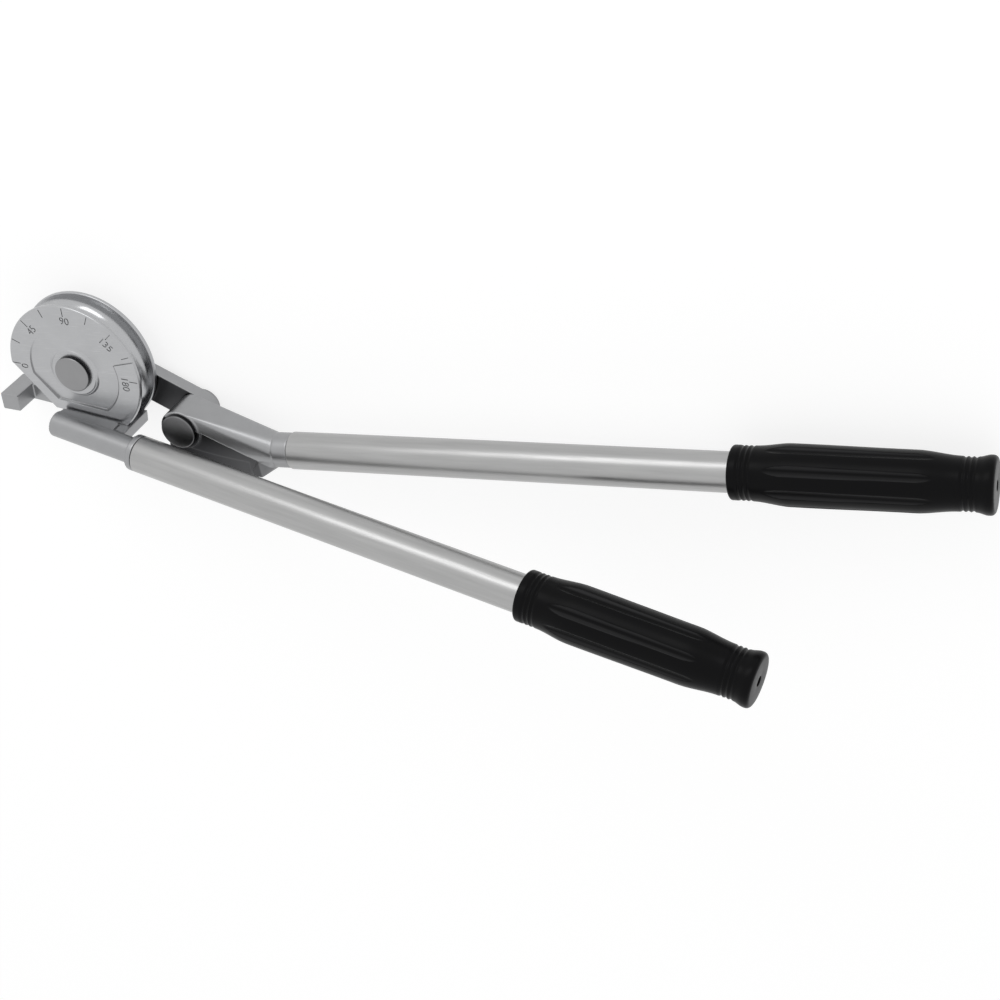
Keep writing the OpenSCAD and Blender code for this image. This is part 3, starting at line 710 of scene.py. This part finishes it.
def mix_number(tree, factor, first, second):
    """Mixes two numbers by a factor."""
    made = add_node(tree, "ShaderNodeMix", data_type="FLOAT")
    for place, value in zip((MIX_FACTOR, *MIX_NUMBERS), (factor, first, second)):
        feed(tree, made.inputs[place], value)
    return made.outputs[MIX_NUMBER_OUT]


def map_range(tree, value, low, high):
    """Maps a 0 to 1 value onto a range."""
    return add_node(tree, "ShaderNodeMapRange", Value=value, To_Min=low, To_Max=high).outputs[0]


def metal(name, base, roughness, worn=None, scratched=None, skin=None, mottle=90.0, speckle=2600.0,
          grain=0.06, bump=0.02, dulled=0.88, lay=None, polish=None):
    """A metal with mottled tone and grain in its gloss.

    worn and scratched are its colours on rubbed edges and in scratches, and the third is its painted shade, mixed
    in by each face's stored share.
    dulled is how dark the mottle gets, lay turns and stretches the grain as (frame, stretch), and polish
    changes the gloss by place."""
    material, tree, shader, place = blank_material(name)
    effect = partial(add_node, tree, "ShaderNodeGroup")
    where = place
    if lay is not None:
        turn, stretch = lay
        along = add_node(tree, "ShaderNodeMapping", vector_type="TEXTURE", Vector=place,
                         Rotation=turn.to_euler())
        where = add_node(tree, "ShaderNodeMapping", Vector=along.outputs[0], Scale=stretch).outputs[0]
    grained = effect(node_tree=grain_group(), Vector=where, Mottle=mottle, Speckle=speckle)
    height = grained.outputs["Speckle"]
    gloss = map_range(tree, height, roughness - grain, roughness + grain)
    tone = mix_colour(tree, grained.outputs["Mottle"], [channel * dulled for channel in base], base)
    # Painted shade, mixed in by each face's stored share
    if skin is not None:
        kept = add_node(tree, "ShaderNodeAttribute", attribute_name=TONE_ATTRIBUTE)
        tone = mix_colour(tree, kept.outputs["Fac"], tone, skin)
    if worn is not None:
        rubbed = effect(node_tree=wear_group(), Vector=place, Start=WEAR_START, Patches=WEAR_PATCHES)
        tone = mix_colour(tree, rubbed.outputs["Mask"], tone, worn)
    if scratched is not None:
        lines = effect(node_tree=scratch_group(), Vector=place, Threshold=SCRATCH_START).outputs["Mask"]
        tone = mix_colour(tree, math_node(tree, "MULTIPLY", lines, SCRATCH_SHARE), tone, scratched)
        height = math_node(tree, "SUBTRACT", height, lines)
    if polish is not None:
        gloss = polish(tree, place, gloss)
    bumped = add_node(tree, "ShaderNodeBump", Height=height, Strength=bump, Distance=METAL_BUMP)
    wire(tree, shader, Metallic=1.0, Base_Color=tone, Roughness=gloss, Normal=bumped.outputs[0])
    return material


def groove_polish(tree, place, gloss):
    """The groove is polished by the tube that runs in it."""
    sizes = bpy.context.scene.bender_wheel
    bottom = sizes.bend_radius - sizes.groove_radius - sizes.edge
    parts = add_node(tree, "ShaderNodeSeparateXYZ", Vector=place).outputs
    flat = add_node(tree, "ShaderNodeCombineXYZ", X=parts["X"], Y=parts["Y"])
    radius = add_node(tree, "ShaderNodeVectorMath", operation="LENGTH", Vector=flat.outputs[0])
    outside = math_node(tree, "GREATER_THAN", radius.outputs["Value"], bottom)
    inside = math_node(tree, "LESS_THAN", math_node(tree, "ABSOLUTE", parts["Z"]), sizes.groove_radius)
    groove = math_node(tree, "MULTIPLY", outside, inside)
    return mix_number(tree, groove, gloss, GROOVE_ROUGHNESS)


@cache
def metal_of(slot):
    """The metal of a record slot, built the first time that it is used."""
    finish = bpy.context.scene.bender_finishes
    metals = {
        # Plated, satin and pin steel take the dark painted shade colour where their faces store it
        "plated_wheel": dict(base=finish.plate, roughness=0.3, scratched=finish.plate_scratched,
                             skin=finish.scale, bump=0.05, polish=groove_polish),
        "satin_steel": dict(base=finish.satin, roughness=0.36, skin=finish.scale, mottle=140.0, bump=0.06),
        "pin_steel": dict(base=finish.pin, roughness=0.3, skin=finish.scale),
        "dark_steel": dict(base=finish.dark, roughness=0.42, worn=finish.dark_worn),
        "bronze": dict(base=finish.bronze, roughness=0.34, worn=finish.bronze_worn),
    }
    return metal(slot, **metals[slot])


def tube_steel(name, turn):
    """Satin tube with streaks along its handle."""
    finish = bpy.context.scene.bender_finishes
    return metal(name, finish.tube, roughness=0.33, worn=finish.tube_worn, mottle=3.0, speckle=5.0,
                 grain=0.09, bump=0.25, dulled=0.72, lay=(turn, TUBE_STRETCH))


@cache
def grip_vinyl():
    """Glossy black vinyl with a faint moulded texture."""
    finish = bpy.context.scene.bender_finishes
    material, tree, shader, place = blank_material("grip_vinyl")
    grained = add_node(tree, "ShaderNodeGroup", node_tree=grain_group(), Vector=place, Mottle=60.0,
                       Speckle=1500.0)
    # Stored share: lighter vinyl on the end faces and painted sheen on the flutes' walls
    rubbed = add_node(tree, "ShaderNodeAttribute", attribute_name=TONE_ATTRIBUTE)
    tone = mix_colour(tree, rubbed.outputs["Fac"], finish.vinyl, finish.vinyl_rubbed)
    gloss = map_range(tree, grained.outputs["Mottle"], low=0.26, high=0.42)
    bumped = add_node(tree, "ShaderNodeBump", Height=grained.outputs["Speckle"], Strength=0.05,
                      Distance=VINYL_BUMP)
    wire(tree, shader, Base_Color=tone, Roughness=gloss, Specular_IOR_Level=0.08, Normal=bumped.outputs[0])
    return material


# Pieces

# The soft wall around the wheel's sunken face: its points, the part of its width between two of them, and
# its height against the sunken depth, so that it ends above the face
WALL_POINTS = 6
WALL_STEP = 0.18
WALL_HEIGHT = 1.15
# How far a face leans where its painted tone starts to change and where it is all changed, as parts of its normal
WALL_LEAN = (0.01, 0.15)
PIN_LEAN = (0.05, 0.4)
WEB_LEAN = (0.25, 0.6)
UNDER_LEAN = (0.2, 0.7)
ROLLED_LEAN = (0.6, 0.95)
GRIP_END_LEAN = (0.75, 0.95)
FLUTE_LEAN = (0.25, 0.6)
# How wide the rim stays free of painted shade, against its rounding
RIM_MARGIN = 1.2


def wheel_flats(sizes):
    """Distance from the axis and direction of the wheel's two flats, the lower one along its handle."""
    along = LOWER.col[0]
    lower_turn = math.atan2(along.y, along.x) - math.pi / 2
    return (sizes.flat_drop, lower_turn), (sizes.slant_drop, sizes.slant_turn)


def sunken_cutter(sizes, face, reach):
    """The solid that is cut out of the wheel's face: a disc around the boss that runs out to the rim."""
    def limited(radius, turn):
        for distance, facing in wheel_flats(sizes):
            lean = math.cos(turn - facing)
            if lean > WELD:
                radius = min(radius, (distance - sizes.rib) / lean)
        return radius

    degrees = [math.radians(k) for k in range(360)]
    corners = [(t, reach if sizes.sunk_from < t < sizes.sunk_to else sizes.sunk_radius) for t in degrees]
    corners += [(t, r) for t in (sizes.sunk_from, sizes.sunk_to) for r in (sizes.sunk_radius, reach)]
    corners.sort(key=lambda c: (c[0], c[1] if c[0] <= sizes.sunk_from else -c[1]))
    slope = math.tan(sizes.sunk_slope)
    above = 3 * sizes.sunk_depth
    steps = [WALL_STEP * k for k in range(WALL_POINTS)]
    half = sizes.wall_width / 2
    inside = sizes.boss + half
    bm = bmesh.new()
    loops = []
    for turn, radius in corners:
        aim = Vector((math.cos(turn), math.sin(turn), 0))
        walls_here = []
        for edge, out in ((limited(radius, turn), 1), (inside, -1)):
            deep = sizes.sunk_depth - (edge - out * half) * aim.y * slope
            floor = face - deep
            wall = [(edge + out * half * (2 * t - 1), floor + deep * WALL_HEIGHT * ease(t)) for t in steps]
            wall.append((wall[-1][0], face + above))
            walls_here.append([bm.verts.new(aim * r + Vector((0, 0, z))) for r, z in wall])
        loops.append(walls_here[0][::-1] + walls_here[1])
    for a, b in zip(loops, loops[1:] + loops[:1]):
        for i in range(len(a)):
            bm.faces.new((a[i - 1], b[i - 1], b[i], a[i]))
    close_up(bm)
    return link_object("sunken_cutter", to_mesh(bm, "sunken_cutter"))


def face_drop(sizes, turn, radius):
    """How deep the wheel's face lies sunken in a direction, outside the sunken disc."""
    if not sizes.sunk_from < turn < sizes.sunk_to:
        return 0.0
    return max(0.0, sizes.sunk_depth - radius * math.sin(turn) * math.tan(sizes.sunk_slope))


def numeral_cutter(sizes, face):
    """The wheel's plain dial numbers as one cutter, each starting by its mark and facing outwards."""
    bm = bmesh.new()
    graph = bpy.context.evaluated_depsgraph_get()
    for k in range(0, sizes.mark_count, 2):
        text = bpy.data.curves.new("numeral", "FONT")
        text.body = str(round(math.degrees(k * sizes.mark_step)))
        text.size = sizes.numeral
        text.extrude = sizes.mark_depth
        text.align_y = "CENTER"
        holder = link_object("numeral", text)
        graph.update()
        mesh = bpy.data.meshes.new_from_object(holder.evaluated_get(graph))
        turn = sizes.mark_first - k * sizes.mark_step
        place = Matrix.Rotation(turn - math.pi / 2, 4, "Z")
        mesh.transform(place @ Matrix.Translation((-sizes.numeral_lead, sizes.numeral_at, face)))
        if face_drop(sizes, turn, sizes.numeral_at) > 0:
            sunken = Matrix.Translation((0, 0, -sizes.sunk_depth))
            sunken[2][1] = math.tan(sizes.sunk_slope)
            mesh.transform(sunken)
        bm.from_mesh(mesh)
        bpy.data.objects.remove(holder)
    close_up(bm)
    return link_object("numeral_cutter", to_mesh(bm, "numeral_cutter"))


def wheel_skin(place, normal):
    """Painted shade on the wall around the wheel's sunken face and in its stamped marks, where shade falls in
    them.
    """
    sizes = bpy.context.scene.bender_wheel
    off_axis = place.xy.length
    turn = math.atan2(place.y, place.x)
    below = -WHEEL_LOW.z - face_drop(sizes, turn, off_axis) - place.z
    around_boss = off_axis < sizes.boss + 2 * sizes.wall_width
    on_rim = off_axis > WHEEL_HIGH.x - RIM_MARGIN * sizes.rim_round
    on_flat = any(off_axis * math.cos(turn - facing) > distance - 2 * sizes.edge
                  for distance, facing in wheel_flats(sizes))
    if around_boss or on_rim or on_flat or below > 3 * sizes.sunk_depth:
        return 0.0
    if off_axis > sizes.sunk_radius + sizes.wall_width and below > sizes.mark_depth / 2:
        return sizes.grime
    return sizes.grime * ramp(1.0 - normal.z, *WALL_LEAN)


class BENDER_OT_wheel(bpy.types.Operator):
    """Turns the grooved wheel, cuts its flats and sunken face, and stamps the degree marks"""

    bl_idname = "bender.wheel"
    bl_label = "Forming Wheel"

    def execute(self, context):
        sizes = context.scene.bender_wheel
        steel = context.scene.bender_steel
        face = -WHEEL_LOW.z
        rim = WHEEL_HIGH.x
        top = WHEEL_HIGH.z
        boss_top = sizes.boss - (top - face) * math.tan(sizes.boss_lean)
        arc = [math.pi * k / sizes.groove_facets for k in range(sizes.groove_facets + 1)]
        hollow = sizes.groove_radius
        groove = [(-hollow * math.cos(t), sizes.bend_radius - hollow * math.sin(t), 0) for t in arc]
        outline = [
            (-face, sizes.bore, sizes.step_round), (-face, sizes.hub, sizes.step_round),
            (-face + sizes.ring_depth, sizes.hub, sizes.step_round),
            (-face + sizes.ring_depth, sizes.sunk_radius, sizes.step_round),
            (-face, sizes.sunk_radius, sizes.step_round), (-face, rim, sizes.rim_round),
            (-hollow, rim, sizes.lip_round), *groove, (hollow, rim, sizes.lip_round),
            (face, rim, sizes.rim_round),
            (face, sizes.boss, sizes.step_round / 2), (top, boss_top, sizes.step_round),
            (top, sizes.bore, sizes.step_round),
        ]
        bm = lathe(filleted(outline), sizes.segments)
        bm.transform(TURN_UP)
        for distance, facing in wheel_flats(sizes):
            cut_flat(bm, distance, facing)
        soften(bm, sizes.edge, steel.edge_angle, steel.edge_segments)
        wheel = link_object("wheel_plated", to_mesh(bm, "wheel_plated"))
        carve(wheel, sunken_cutter(sizes, face, 2 * rim))
        material = metal_of("plated_wheel")
        run_tree(wheel, marks_tree(), {
            "Count": sizes.mark_count, "First": sizes.mark_first, "Step": sizes.mark_step, "Face": face,
            "Middle": rim - sizes.rim_round - sizes.mark_length / 2, "Length": sizes.mark_length,
            "Width": sizes.mark_width, "Depth": sizes.mark_depth, "Sunken": sizes.sunk_depth,
            "Slope": math.tan(sizes.sunk_slope), "Sunken From": sizes.sunk_from, "Sunken To": sizes.sunk_to,
            "Material": material,
        })
        carve(wheel, numeral_cutter(sizes, face))
        # Painted shade on the sunken face's wall and in the stamped marks
        keep_skin(wheel, wheel_skin)
        smooth_shading(wheel.data, steel.edge_angle)
        even_normals = wheel.modifiers.new("Even normals", "WEIGHTED_NORMAL")
        even_normals.keep_sharp = True
        finish_piece(wheel, "forming_wheel", "base", material)
        return {"FINISHED"}


def turned_pin(name, node, clip, seat, tail, body, face_shade):
    """A headed pin with a crowned head, a clip groove and a chamfered tail, with painted shade on its sides, round
    its head, and a share of it on the head's face.
    """
    # Painted shade: full on the sides, where the gap round the head lies in shade, and the given share on the
    # head's face
    def skin(place, normal):
        return 1.0 - (1.0 - face_shade) * ramp(normal.z, *PIN_LEAN)

    sizes = bpy.context.scene.bender_pins
    low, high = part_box(node)
    clip_low, clip_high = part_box(clip)
    head = (high.x - low.x) / 2
    under = high.z - sizes.head
    groove = tail - sizes.groove
    outline = filleted([
        (low.z, 0, 0), (low.z, tail, 2 * sizes.edge), (clip_low.z, tail, 0), (clip_low.z, groove, 0),
        (clip_high.z, groove, 0), (clip_high.z, tail, 0), (seat, tail, 0), (seat, sizes.shaft, 0),
        (under, sizes.shaft, 0), (under, head, sizes.edge), (high.z - sizes.crown, head, sizes.rim),
        (high.z - sizes.crown / 4, head / 2, head / 4), (high.z, 0, 0),
    ])
    bm = lathe(outline, sizes.segments, closed=False)
    bm.transform(Matrix.Translation(((low.x + high.x) / 2, (low.y + high.y) / 2, 0)) @ TURN_UP)
    close_up(bm)
    pin = link_object(name, to_mesh(bm, name))
    keep_skin(pin, skin)
    smooth_shading(pin.data, bpy.context.scene.bender_steel.edge_angle)
    finish_piece(pin, node, body, metal_of("pin_steel"))


class BENDER_OT_pins(bpy.types.Operator):
    """Turns the centre pin and the link pin"""

    bl_idname = "bender.pins"
    bl_label = "Pivot Pins"

    def execute(self, context):
        sizes = context.scene.bender_pins
        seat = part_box("link_bar")[1].z
        turned_pin("centre_pin_turned", "centre_pin", "centre_clip", seat, sizes.shaft, "base", 0.0)
        turned_pin("link_pin_turned", "link_pin", "link_clip", seat, sizes.tail, "link", sizes.link_skin)
        return {"FINISHED"}


def forged(name, node, body, voxel, passes, skin):
    """A forged piece: its CAD shape with soft edges, and painted shade where the rule puts it."""
    piece = link_object(name, to_mesh(welded_copy(node), name))
    grain = piece.modifiers.new("Grain", "REMESH")
    grain.mode = "VOXEL"
    grain.voxel_size = voxel
    blend = piece.modifiers.new("Blend", "SMOOTH")
    blend.iterations = passes
    bake_modifiers(piece)
    keep_skin(piece, skin)
    smooth_shading(piece.data, bpy.context.scene.bender_steel.crease)
    finish_piece(piece, node, body, metal_of("satin_steel"))


def bare(place, normal):
    """No painted shade."""
    return 0.0


def web_skin(place, normal):
    """Painted shade on the shoe's sides below the ridge, fading along it and more past its end, and lighter
    painted shade on its underside.
    """
    steel = bpy.context.scene.bender_steel
    start = Vector(steel.ridge_from)
    run = Vector(steel.ridge_to) - start
    place = (place - LINK_PIN).xy
    down = Vector((run.y, -run.x)).normalized()
    below = ramp((place - start).dot(down), -steel.voxel, steel.voxel)
    past_end = ramp(place.x - steel.ridge_to[0], -steel.voxel, steel.voxel)
    kept = 1.0 - steel.web_fade * ramp(place.x, 0.0, run.x) - steel.web_end_fade * past_end
    underneath = steel.under_skin * ramp(-normal.y, *UNDER_LEAN)
    return max(ramp(abs(normal.z), *WEB_LEAN) * below * kept, underneath)


def rolled_skin(place, normal):
    """Painted shade on the link's flat faces, which lie in the wheel's shade; its edges keep plain satin steel."""
    return bpy.context.scene.bender_steel.link_skin * ramp(abs(normal.z), *ROLLED_LEAN)


class BENDER_OT_forgings(bpy.types.Operator):
    """Forges the wheel's bracket, the shoe, the link and the tube hook"""

    bl_idname = "bender.forgings"
    bl_label = "Forgings"

    def execute(self, context):
        steel = context.scene.bender_steel
        forged("bracket_forged", "wheel_bracket", "base", steel.voxel, steel.passes, bare)
        forged("shoe_forged", "shoe_forging", "shoe_handle", steel.voxel, steel.passes, web_skin)
        forged("link_forged", "link_bar", "link", steel.bar_voxel, steel.bar_passes, rolled_skin)
        forged("hook_forged", "tube_hook", "hook", steel.bar_voxel, steel.hook_passes, bare)
        return {"FINISHED"}


def tube_start(node, place):
    """Where a tube's butted end lies along its handle's frame."""
    back = place.inverted()
    return min((back @ v.co).x for v in frame["nodes"][node].data.vertices)


def drawn_tube(name, node, body, place):
    """A handle tube with rounded ends and the hole of its roll pin."""
    steel = bpy.context.scene.bender_steel
    start = tube_start(node, place) + steel.tube_gap
    end = -bpy.context.scene.bender_grips.bore_end
    bore = steel.tube - steel.tube_wall
    outline = filleted([(start, bore, steel.tube_edge / 2), (start, steel.tube, steel.tube_edge),
                        (end, steel.tube, steel.tube_edge), (end, bore, steel.tube_edge / 2)])
    tube = link_object(name, to_mesh(lathe(outline, steel.tube_segments), name))
    drill = lathe([(0, 0), (0, steel.pin_hole), (steel.tube * 2, steel.pin_hole), (steel.tube * 2, 0)],
                  steel.tube_segments // 2, closed=False)
    drill_at = start - steel.tube_gap + steel.pin_hole_at
    drill.transform(Matrix.Translation((drill_at, 0, 0)) @ Matrix.Rotation(-math.pi / 2, 4, "Z"))
    carve(tube, link_object("drill", to_mesh(drill, "drill")))
    tube.data.transform(place)
    smooth_shading(tube.data, steel.edge_angle)
    finish_piece(tube, node, body, tube_steel(name, place))


class BENDER_OT_tubes(bpy.types.Operator):
    """Draws the two handle tubes"""

    bl_idname = "bender.tubes"
    bl_label = "Handle Tubes"

    def execute(self, context):
        drawn_tube("upper_tube_drawn", "upper_tube", "shoe_handle", UPPER)
        drawn_tube("lower_tube_drawn", "lower_tube", "base", LOWER)
        return {"FINISHED"}


def grip_outline(sizes):
    """Section of a grip as (along, radius) points, from the end hole's bottom round to the bore's bottom."""
    rings_long = sizes.rings * sizes.ring_pitch
    rings_end = sizes.rings_from + rings_long
    neck_end = sizes.neck_at + rings_long

    def eased(along, start, end):
        return ease((along - start) / (end - start))

    def ringed(along, first):
        turns = (along - first) / sizes.ring_pitch
        return sizes.ring_depth * math.sin(math.pi * turns) ** 2 if 0 <= turns <= sizes.rings else 0.0

    def outside(along):
        taper = eased(along, sizes.rise_end, sizes.fall_start)
        crest = sizes.barrel + (sizes.barrel_far - sizes.barrel) * taper
        radius = sizes.collar + (crest - sizes.collar) * eased(along, rings_end, sizes.rise_end)
        radius += (sizes.neck - radius) * eased(along, sizes.fall_start, sizes.neck_at)
        radius += (sizes.knob - radius) * eased(along, neck_end, sizes.knob_at)
        return radius - ringed(along, sizes.rings_from) - ringed(along, sizes.neck_at)

    span = sizes.long - sizes.collar_edge - sizes.knob_edge
    rows = round(span / sizes.row)
    inwards = [sizes.knob_edge + span * k / rows for k in range(1, rows)]
    side = [(sizes.long - x, outside(sizes.long - x), 0) for x in inwards]
    hole_end = sizes.long - sizes.hole_depth
    bore_end = sizes.long - sizes.bore_end
    corners = [(hole_end, 0, 0), (hole_end, sizes.hole, 0), (sizes.long, sizes.hole, sizes.hole_edge),
               (sizes.long, sizes.knob, sizes.knob_edge), *side, (0, sizes.collar, sizes.collar_edge),
               (0, sizes.bore, 0), (bore_end, sizes.bore, 0), (bore_end, 0, 0)]
    return filleted(corners)


def moulded_grip(name, node, body, place, tree):
    """A vinyl grip: its section turned by the fluted grip tree and set on its handle."""
    axis = place.col[0].xyz

    # Lighter vinyl on the end faces, and painted sheen on the flutes' walls, by how each face leans
    def skin(at, normal):
        out = at - place.translation
        out = (out - axis * out.dot(axis)).normalized()
        on_end = ramp(normal.dot(axis), *GRIP_END_LEAN)
        in_flute = ramp(abs(normal.dot(axis.cross(out))), *FLUTE_LEAN)
        return max(on_end, in_flute)

    sizes = bpy.context.scene.bender_grips
    section = grip_outline(sizes)
    mesh = bpy.data.meshes.new(name)
    mesh.from_pydata([(along - sizes.long, radius, 0) for along, radius in section],
                     [(k, k + 1) for k in range(len(section) - 1)], [])
    grip = link_object(name, mesh)
    material = grip_vinyl()
    run_tree(grip, tree, {
        "Rows": len(section), "Columns": sizes.columns, "Flutes": sizes.flutes,
        "First Flute": sizes.flute_turn, "Flute Radius": sizes.flute_radius, "Softness": sizes.flute_soft,
        "Flute Axis": sizes.barrel - sizes.flute_depth + sizes.flute_radius, "Material": material,
    })
    bm = bmesh.new()
    bm.from_mesh(grip.data)
    bmesh.ops.recalc_face_normals(bm, faces=bm.faces)
    bm.transform(place)
    grip.data = to_mesh(bm, name)
    keep_skin(grip, skin)
    smooth_shading(grip.data, sizes.crease)
    finish_piece(grip, node, body, material)


class BENDER_OT_grips(bpy.types.Operator):
    """Moulds the two fluted grips"""

    bl_idname = "bender.grips"
    bl_label = "Grips"

    def execute(self, context):
        tree = grip_tree()
        moulded_grip("upper_grip_moulded", "upper_grip", "shoe_handle", UPPER, tree)
        moulded_grip("lower_grip_moulded", "lower_grip", "base", LOWER, tree)
        return {"FINISHED"}


FITTINGS = {
    "dark_steel": ("wheel_screws", "centre_clip", "link_clip", "hook_clip", "hook_spring_washer",
                   "upper_roll_pin", "lower_roll_pin"),
    "pin_steel": ("centre_washer", "link_washer", "hook_washer"),
    "bronze": ("centre_spacer", "eye_spacer", "link_bush", "eye_bush"),
}


class BENDER_OT_fittings(bpy.types.Operator):
    """Finishes the screws, washers, clips, roll pins, bushes and spacers where the frame has them"""

    bl_idname = "bender.fittings"
    bl_label = "Small Fittings"

    def execute(self, context):
        steel = context.scene.bender_steel
        for slot, nodes in FITTINGS.items():
            for node in nodes:
                fitting = frame["nodes"][node]
                fitting.data.materials.clear()
                fitting.data.materials.append(metal_of(slot))
                weld = fitting.modifiers.new("Weld", "WELD")
                weld.merge_threshold = WELD
                edge = fitting.modifiers.new("Edge", "BEVEL")
                edge.width = steel.fitting_edge
                edge.segments = steel.fitting_segments
                edge.limit_method = "ANGLE"
                edge.angle_limit = steel.edge_angle
        return {"FINISHED"}


class BENDER_OT_stage(bpy.types.Operator):
    """Sets the pale floor, the plain white surroundings, the strip light and the camera"""

    bl_idname = "bender.stage"
    bl_label = "Stage"

    def execute(self, context):
        scene = context.scene
        settings = scene.bender_stage
        scene.view_settings.view_transform = "Standard"
        self.surroundings(scene, settings)
        self.floor(scene, settings)
        self.strip_light(settings)
        self.camera(scene, settings)
        return {"FINISHED"}

    def seen(self, tree):
        """1 for what the camera sees, directly, in a reflection or through glass."""
        path = add_node(tree, "ShaderNodeLightPath").outputs
        sharp = math_node(tree, "MAXIMUM", path["Is Camera Ray"], path["Is Glossy Ray"])
        return math_node(tree, "MAXIMUM", sharp, path["Is Transmission Ray"])

    def surroundings(self, scene, settings):
        scene.world = bpy.data.worlds.new("plain_white")
        tree = empty_tree(scene.world)
        sky = add_node(tree, "ShaderNodeBackground", Color=WHITE,
                       Strength=map_range(tree, self.seen(tree), settings.ambient, 1.0))
        add_node(tree, "ShaderNodeOutputWorld", Surface=sky.outputs[0])

    def floor(self, scene, settings):
        bm = bmesh.new()
        bmesh.ops.create_grid(bm, x_segments=1, y_segments=1, size=settings.floor_reach)
        bm.transform(Matrix.Translation((0, 0, FLOOR_Z)))
        floor = link_object("floor", to_mesh(bm, "floor"))
        material = bpy.data.materials.new("pale_floor")
        tree = empty_tree(material)
        finish = scene.bender_finishes
        plain = add_node(tree, "ShaderNodeBsdfDiffuse", Color=(*finish.floor, 1.0))
        shaded = add_node(tree, "ShaderNodeBsdfDiffuse", Color=(*finish.floor_seen, 1.0))
        glow = add_node(tree, "ShaderNodeEmission", Color=WHITE, Strength=settings.floor_glow)
        white = add_node(tree, "ShaderNodeAddShader")
        for socket, shader in zip(white.inputs, (shaded, glow)):
            feed(tree, socket, shader.outputs[0])
        mix = add_node(tree, "ShaderNodeMixShader")
        for socket, source in zip(mix.inputs, (self.seen(tree), plain.outputs[0], white.outputs[0])):
            feed(tree, socket, source)
        add_node(tree, "ShaderNodeOutputMaterial", Surface=mix.outputs[0])
        floor.data.materials.append(material)

    def strip_light(self, settings):
        middle = (CAD_BOX[0] + CAD_BOX[1]) / 2
        lamp = bpy.data.lights.new("strip", "AREA")
        lamp.shape = "RECTANGLE"
        lamp.size = settings.key_long
        lamp.size_y = settings.key_wide
        lamp.energy = settings.key_power
        holder = link_object("strip", lamp)
        away = Vector(settings.key_from).normalized()
        turn = away.to_track_quat("Z", "Y")
        along = turn @ Vector((-1, 0, 0))
        holder.location = middle + away * settings.key_away + along * settings.key_shift
        holder.rotation_euler = turn.to_euler()
        holder.visible_camera = False

    def camera(self, scene, settings):
        view = bpy.data.cameras.new("camera")
        view.lens = settings.lens
        view.sensor_width = settings.sensor
        scene.camera = link_object("camera", view)
        right = Vector(settings.camera_right).normalized()
        back = -Vector(settings.camera_forward).normalized()
        up = back.cross(right)
        turn = Matrix((right, up, back)).transposed().to_4x4()
        scene.camera.matrix_world = Matrix.Translation(settings.camera_at) @ turn


OPERATORS = (BENDER_OT_stage, BENDER_OT_wheel, BENDER_OT_pins, BENDER_OT_forgings, BENDER_OT_tubes,
             BENDER_OT_grips, BENDER_OT_fittings)


class BENDER_PT_panel(bpy.types.Panel):
    """Lists the pieces of the tube bender"""

    bl_idname = "BENDER_PT_panel"
    bl_label = "Tube Bender"
    bl_space_type = "VIEW_3D"
    bl_region_type = "UI"
    bl_category = "Tube Bender"

    def draw(self, context):
        for operator in OPERATORS:
            self.layout.operator(operator.bl_idname)
        for settings, kind in SETTINGS.items():
            group = getattr(context.scene, settings)
            box = self.layout.box()
            box.label(text=kind.__doc__)
            for name in kind.__annotations__:
                box.prop(group, name)


def register():
    for name, group in SETTINGS.items():
        bpy.utils.register_class(group)
        setattr(bpy.types.Scene, name, PointerProperty(type=group))
    for operator in OPERATORS:
        bpy.utils.register_class(operator)
    bpy.utils.register_class(BENDER_PT_panel)


def unregister():
    bpy.utils.unregister_class(BENDER_PT_panel)
    for operator in reversed(OPERATORS):
        bpy.utils.unregister_class(operator)
    for name, group in SETTINGS.items():
        delattr(bpy.types.Scene, name)
        bpy.utils.unregister_class(group)


def main():
    register()
    bpy.ops.bender.stage()
    bpy.ops.bender.wheel()
    bpy.ops.bender.pins()
    bpy.ops.bender.forgings()
    bpy.ops.bender.tubes()
    bpy.ops.bender.grips()
    bpy.ops.bender.fittings()


if __name__ == "__main__":
    main()
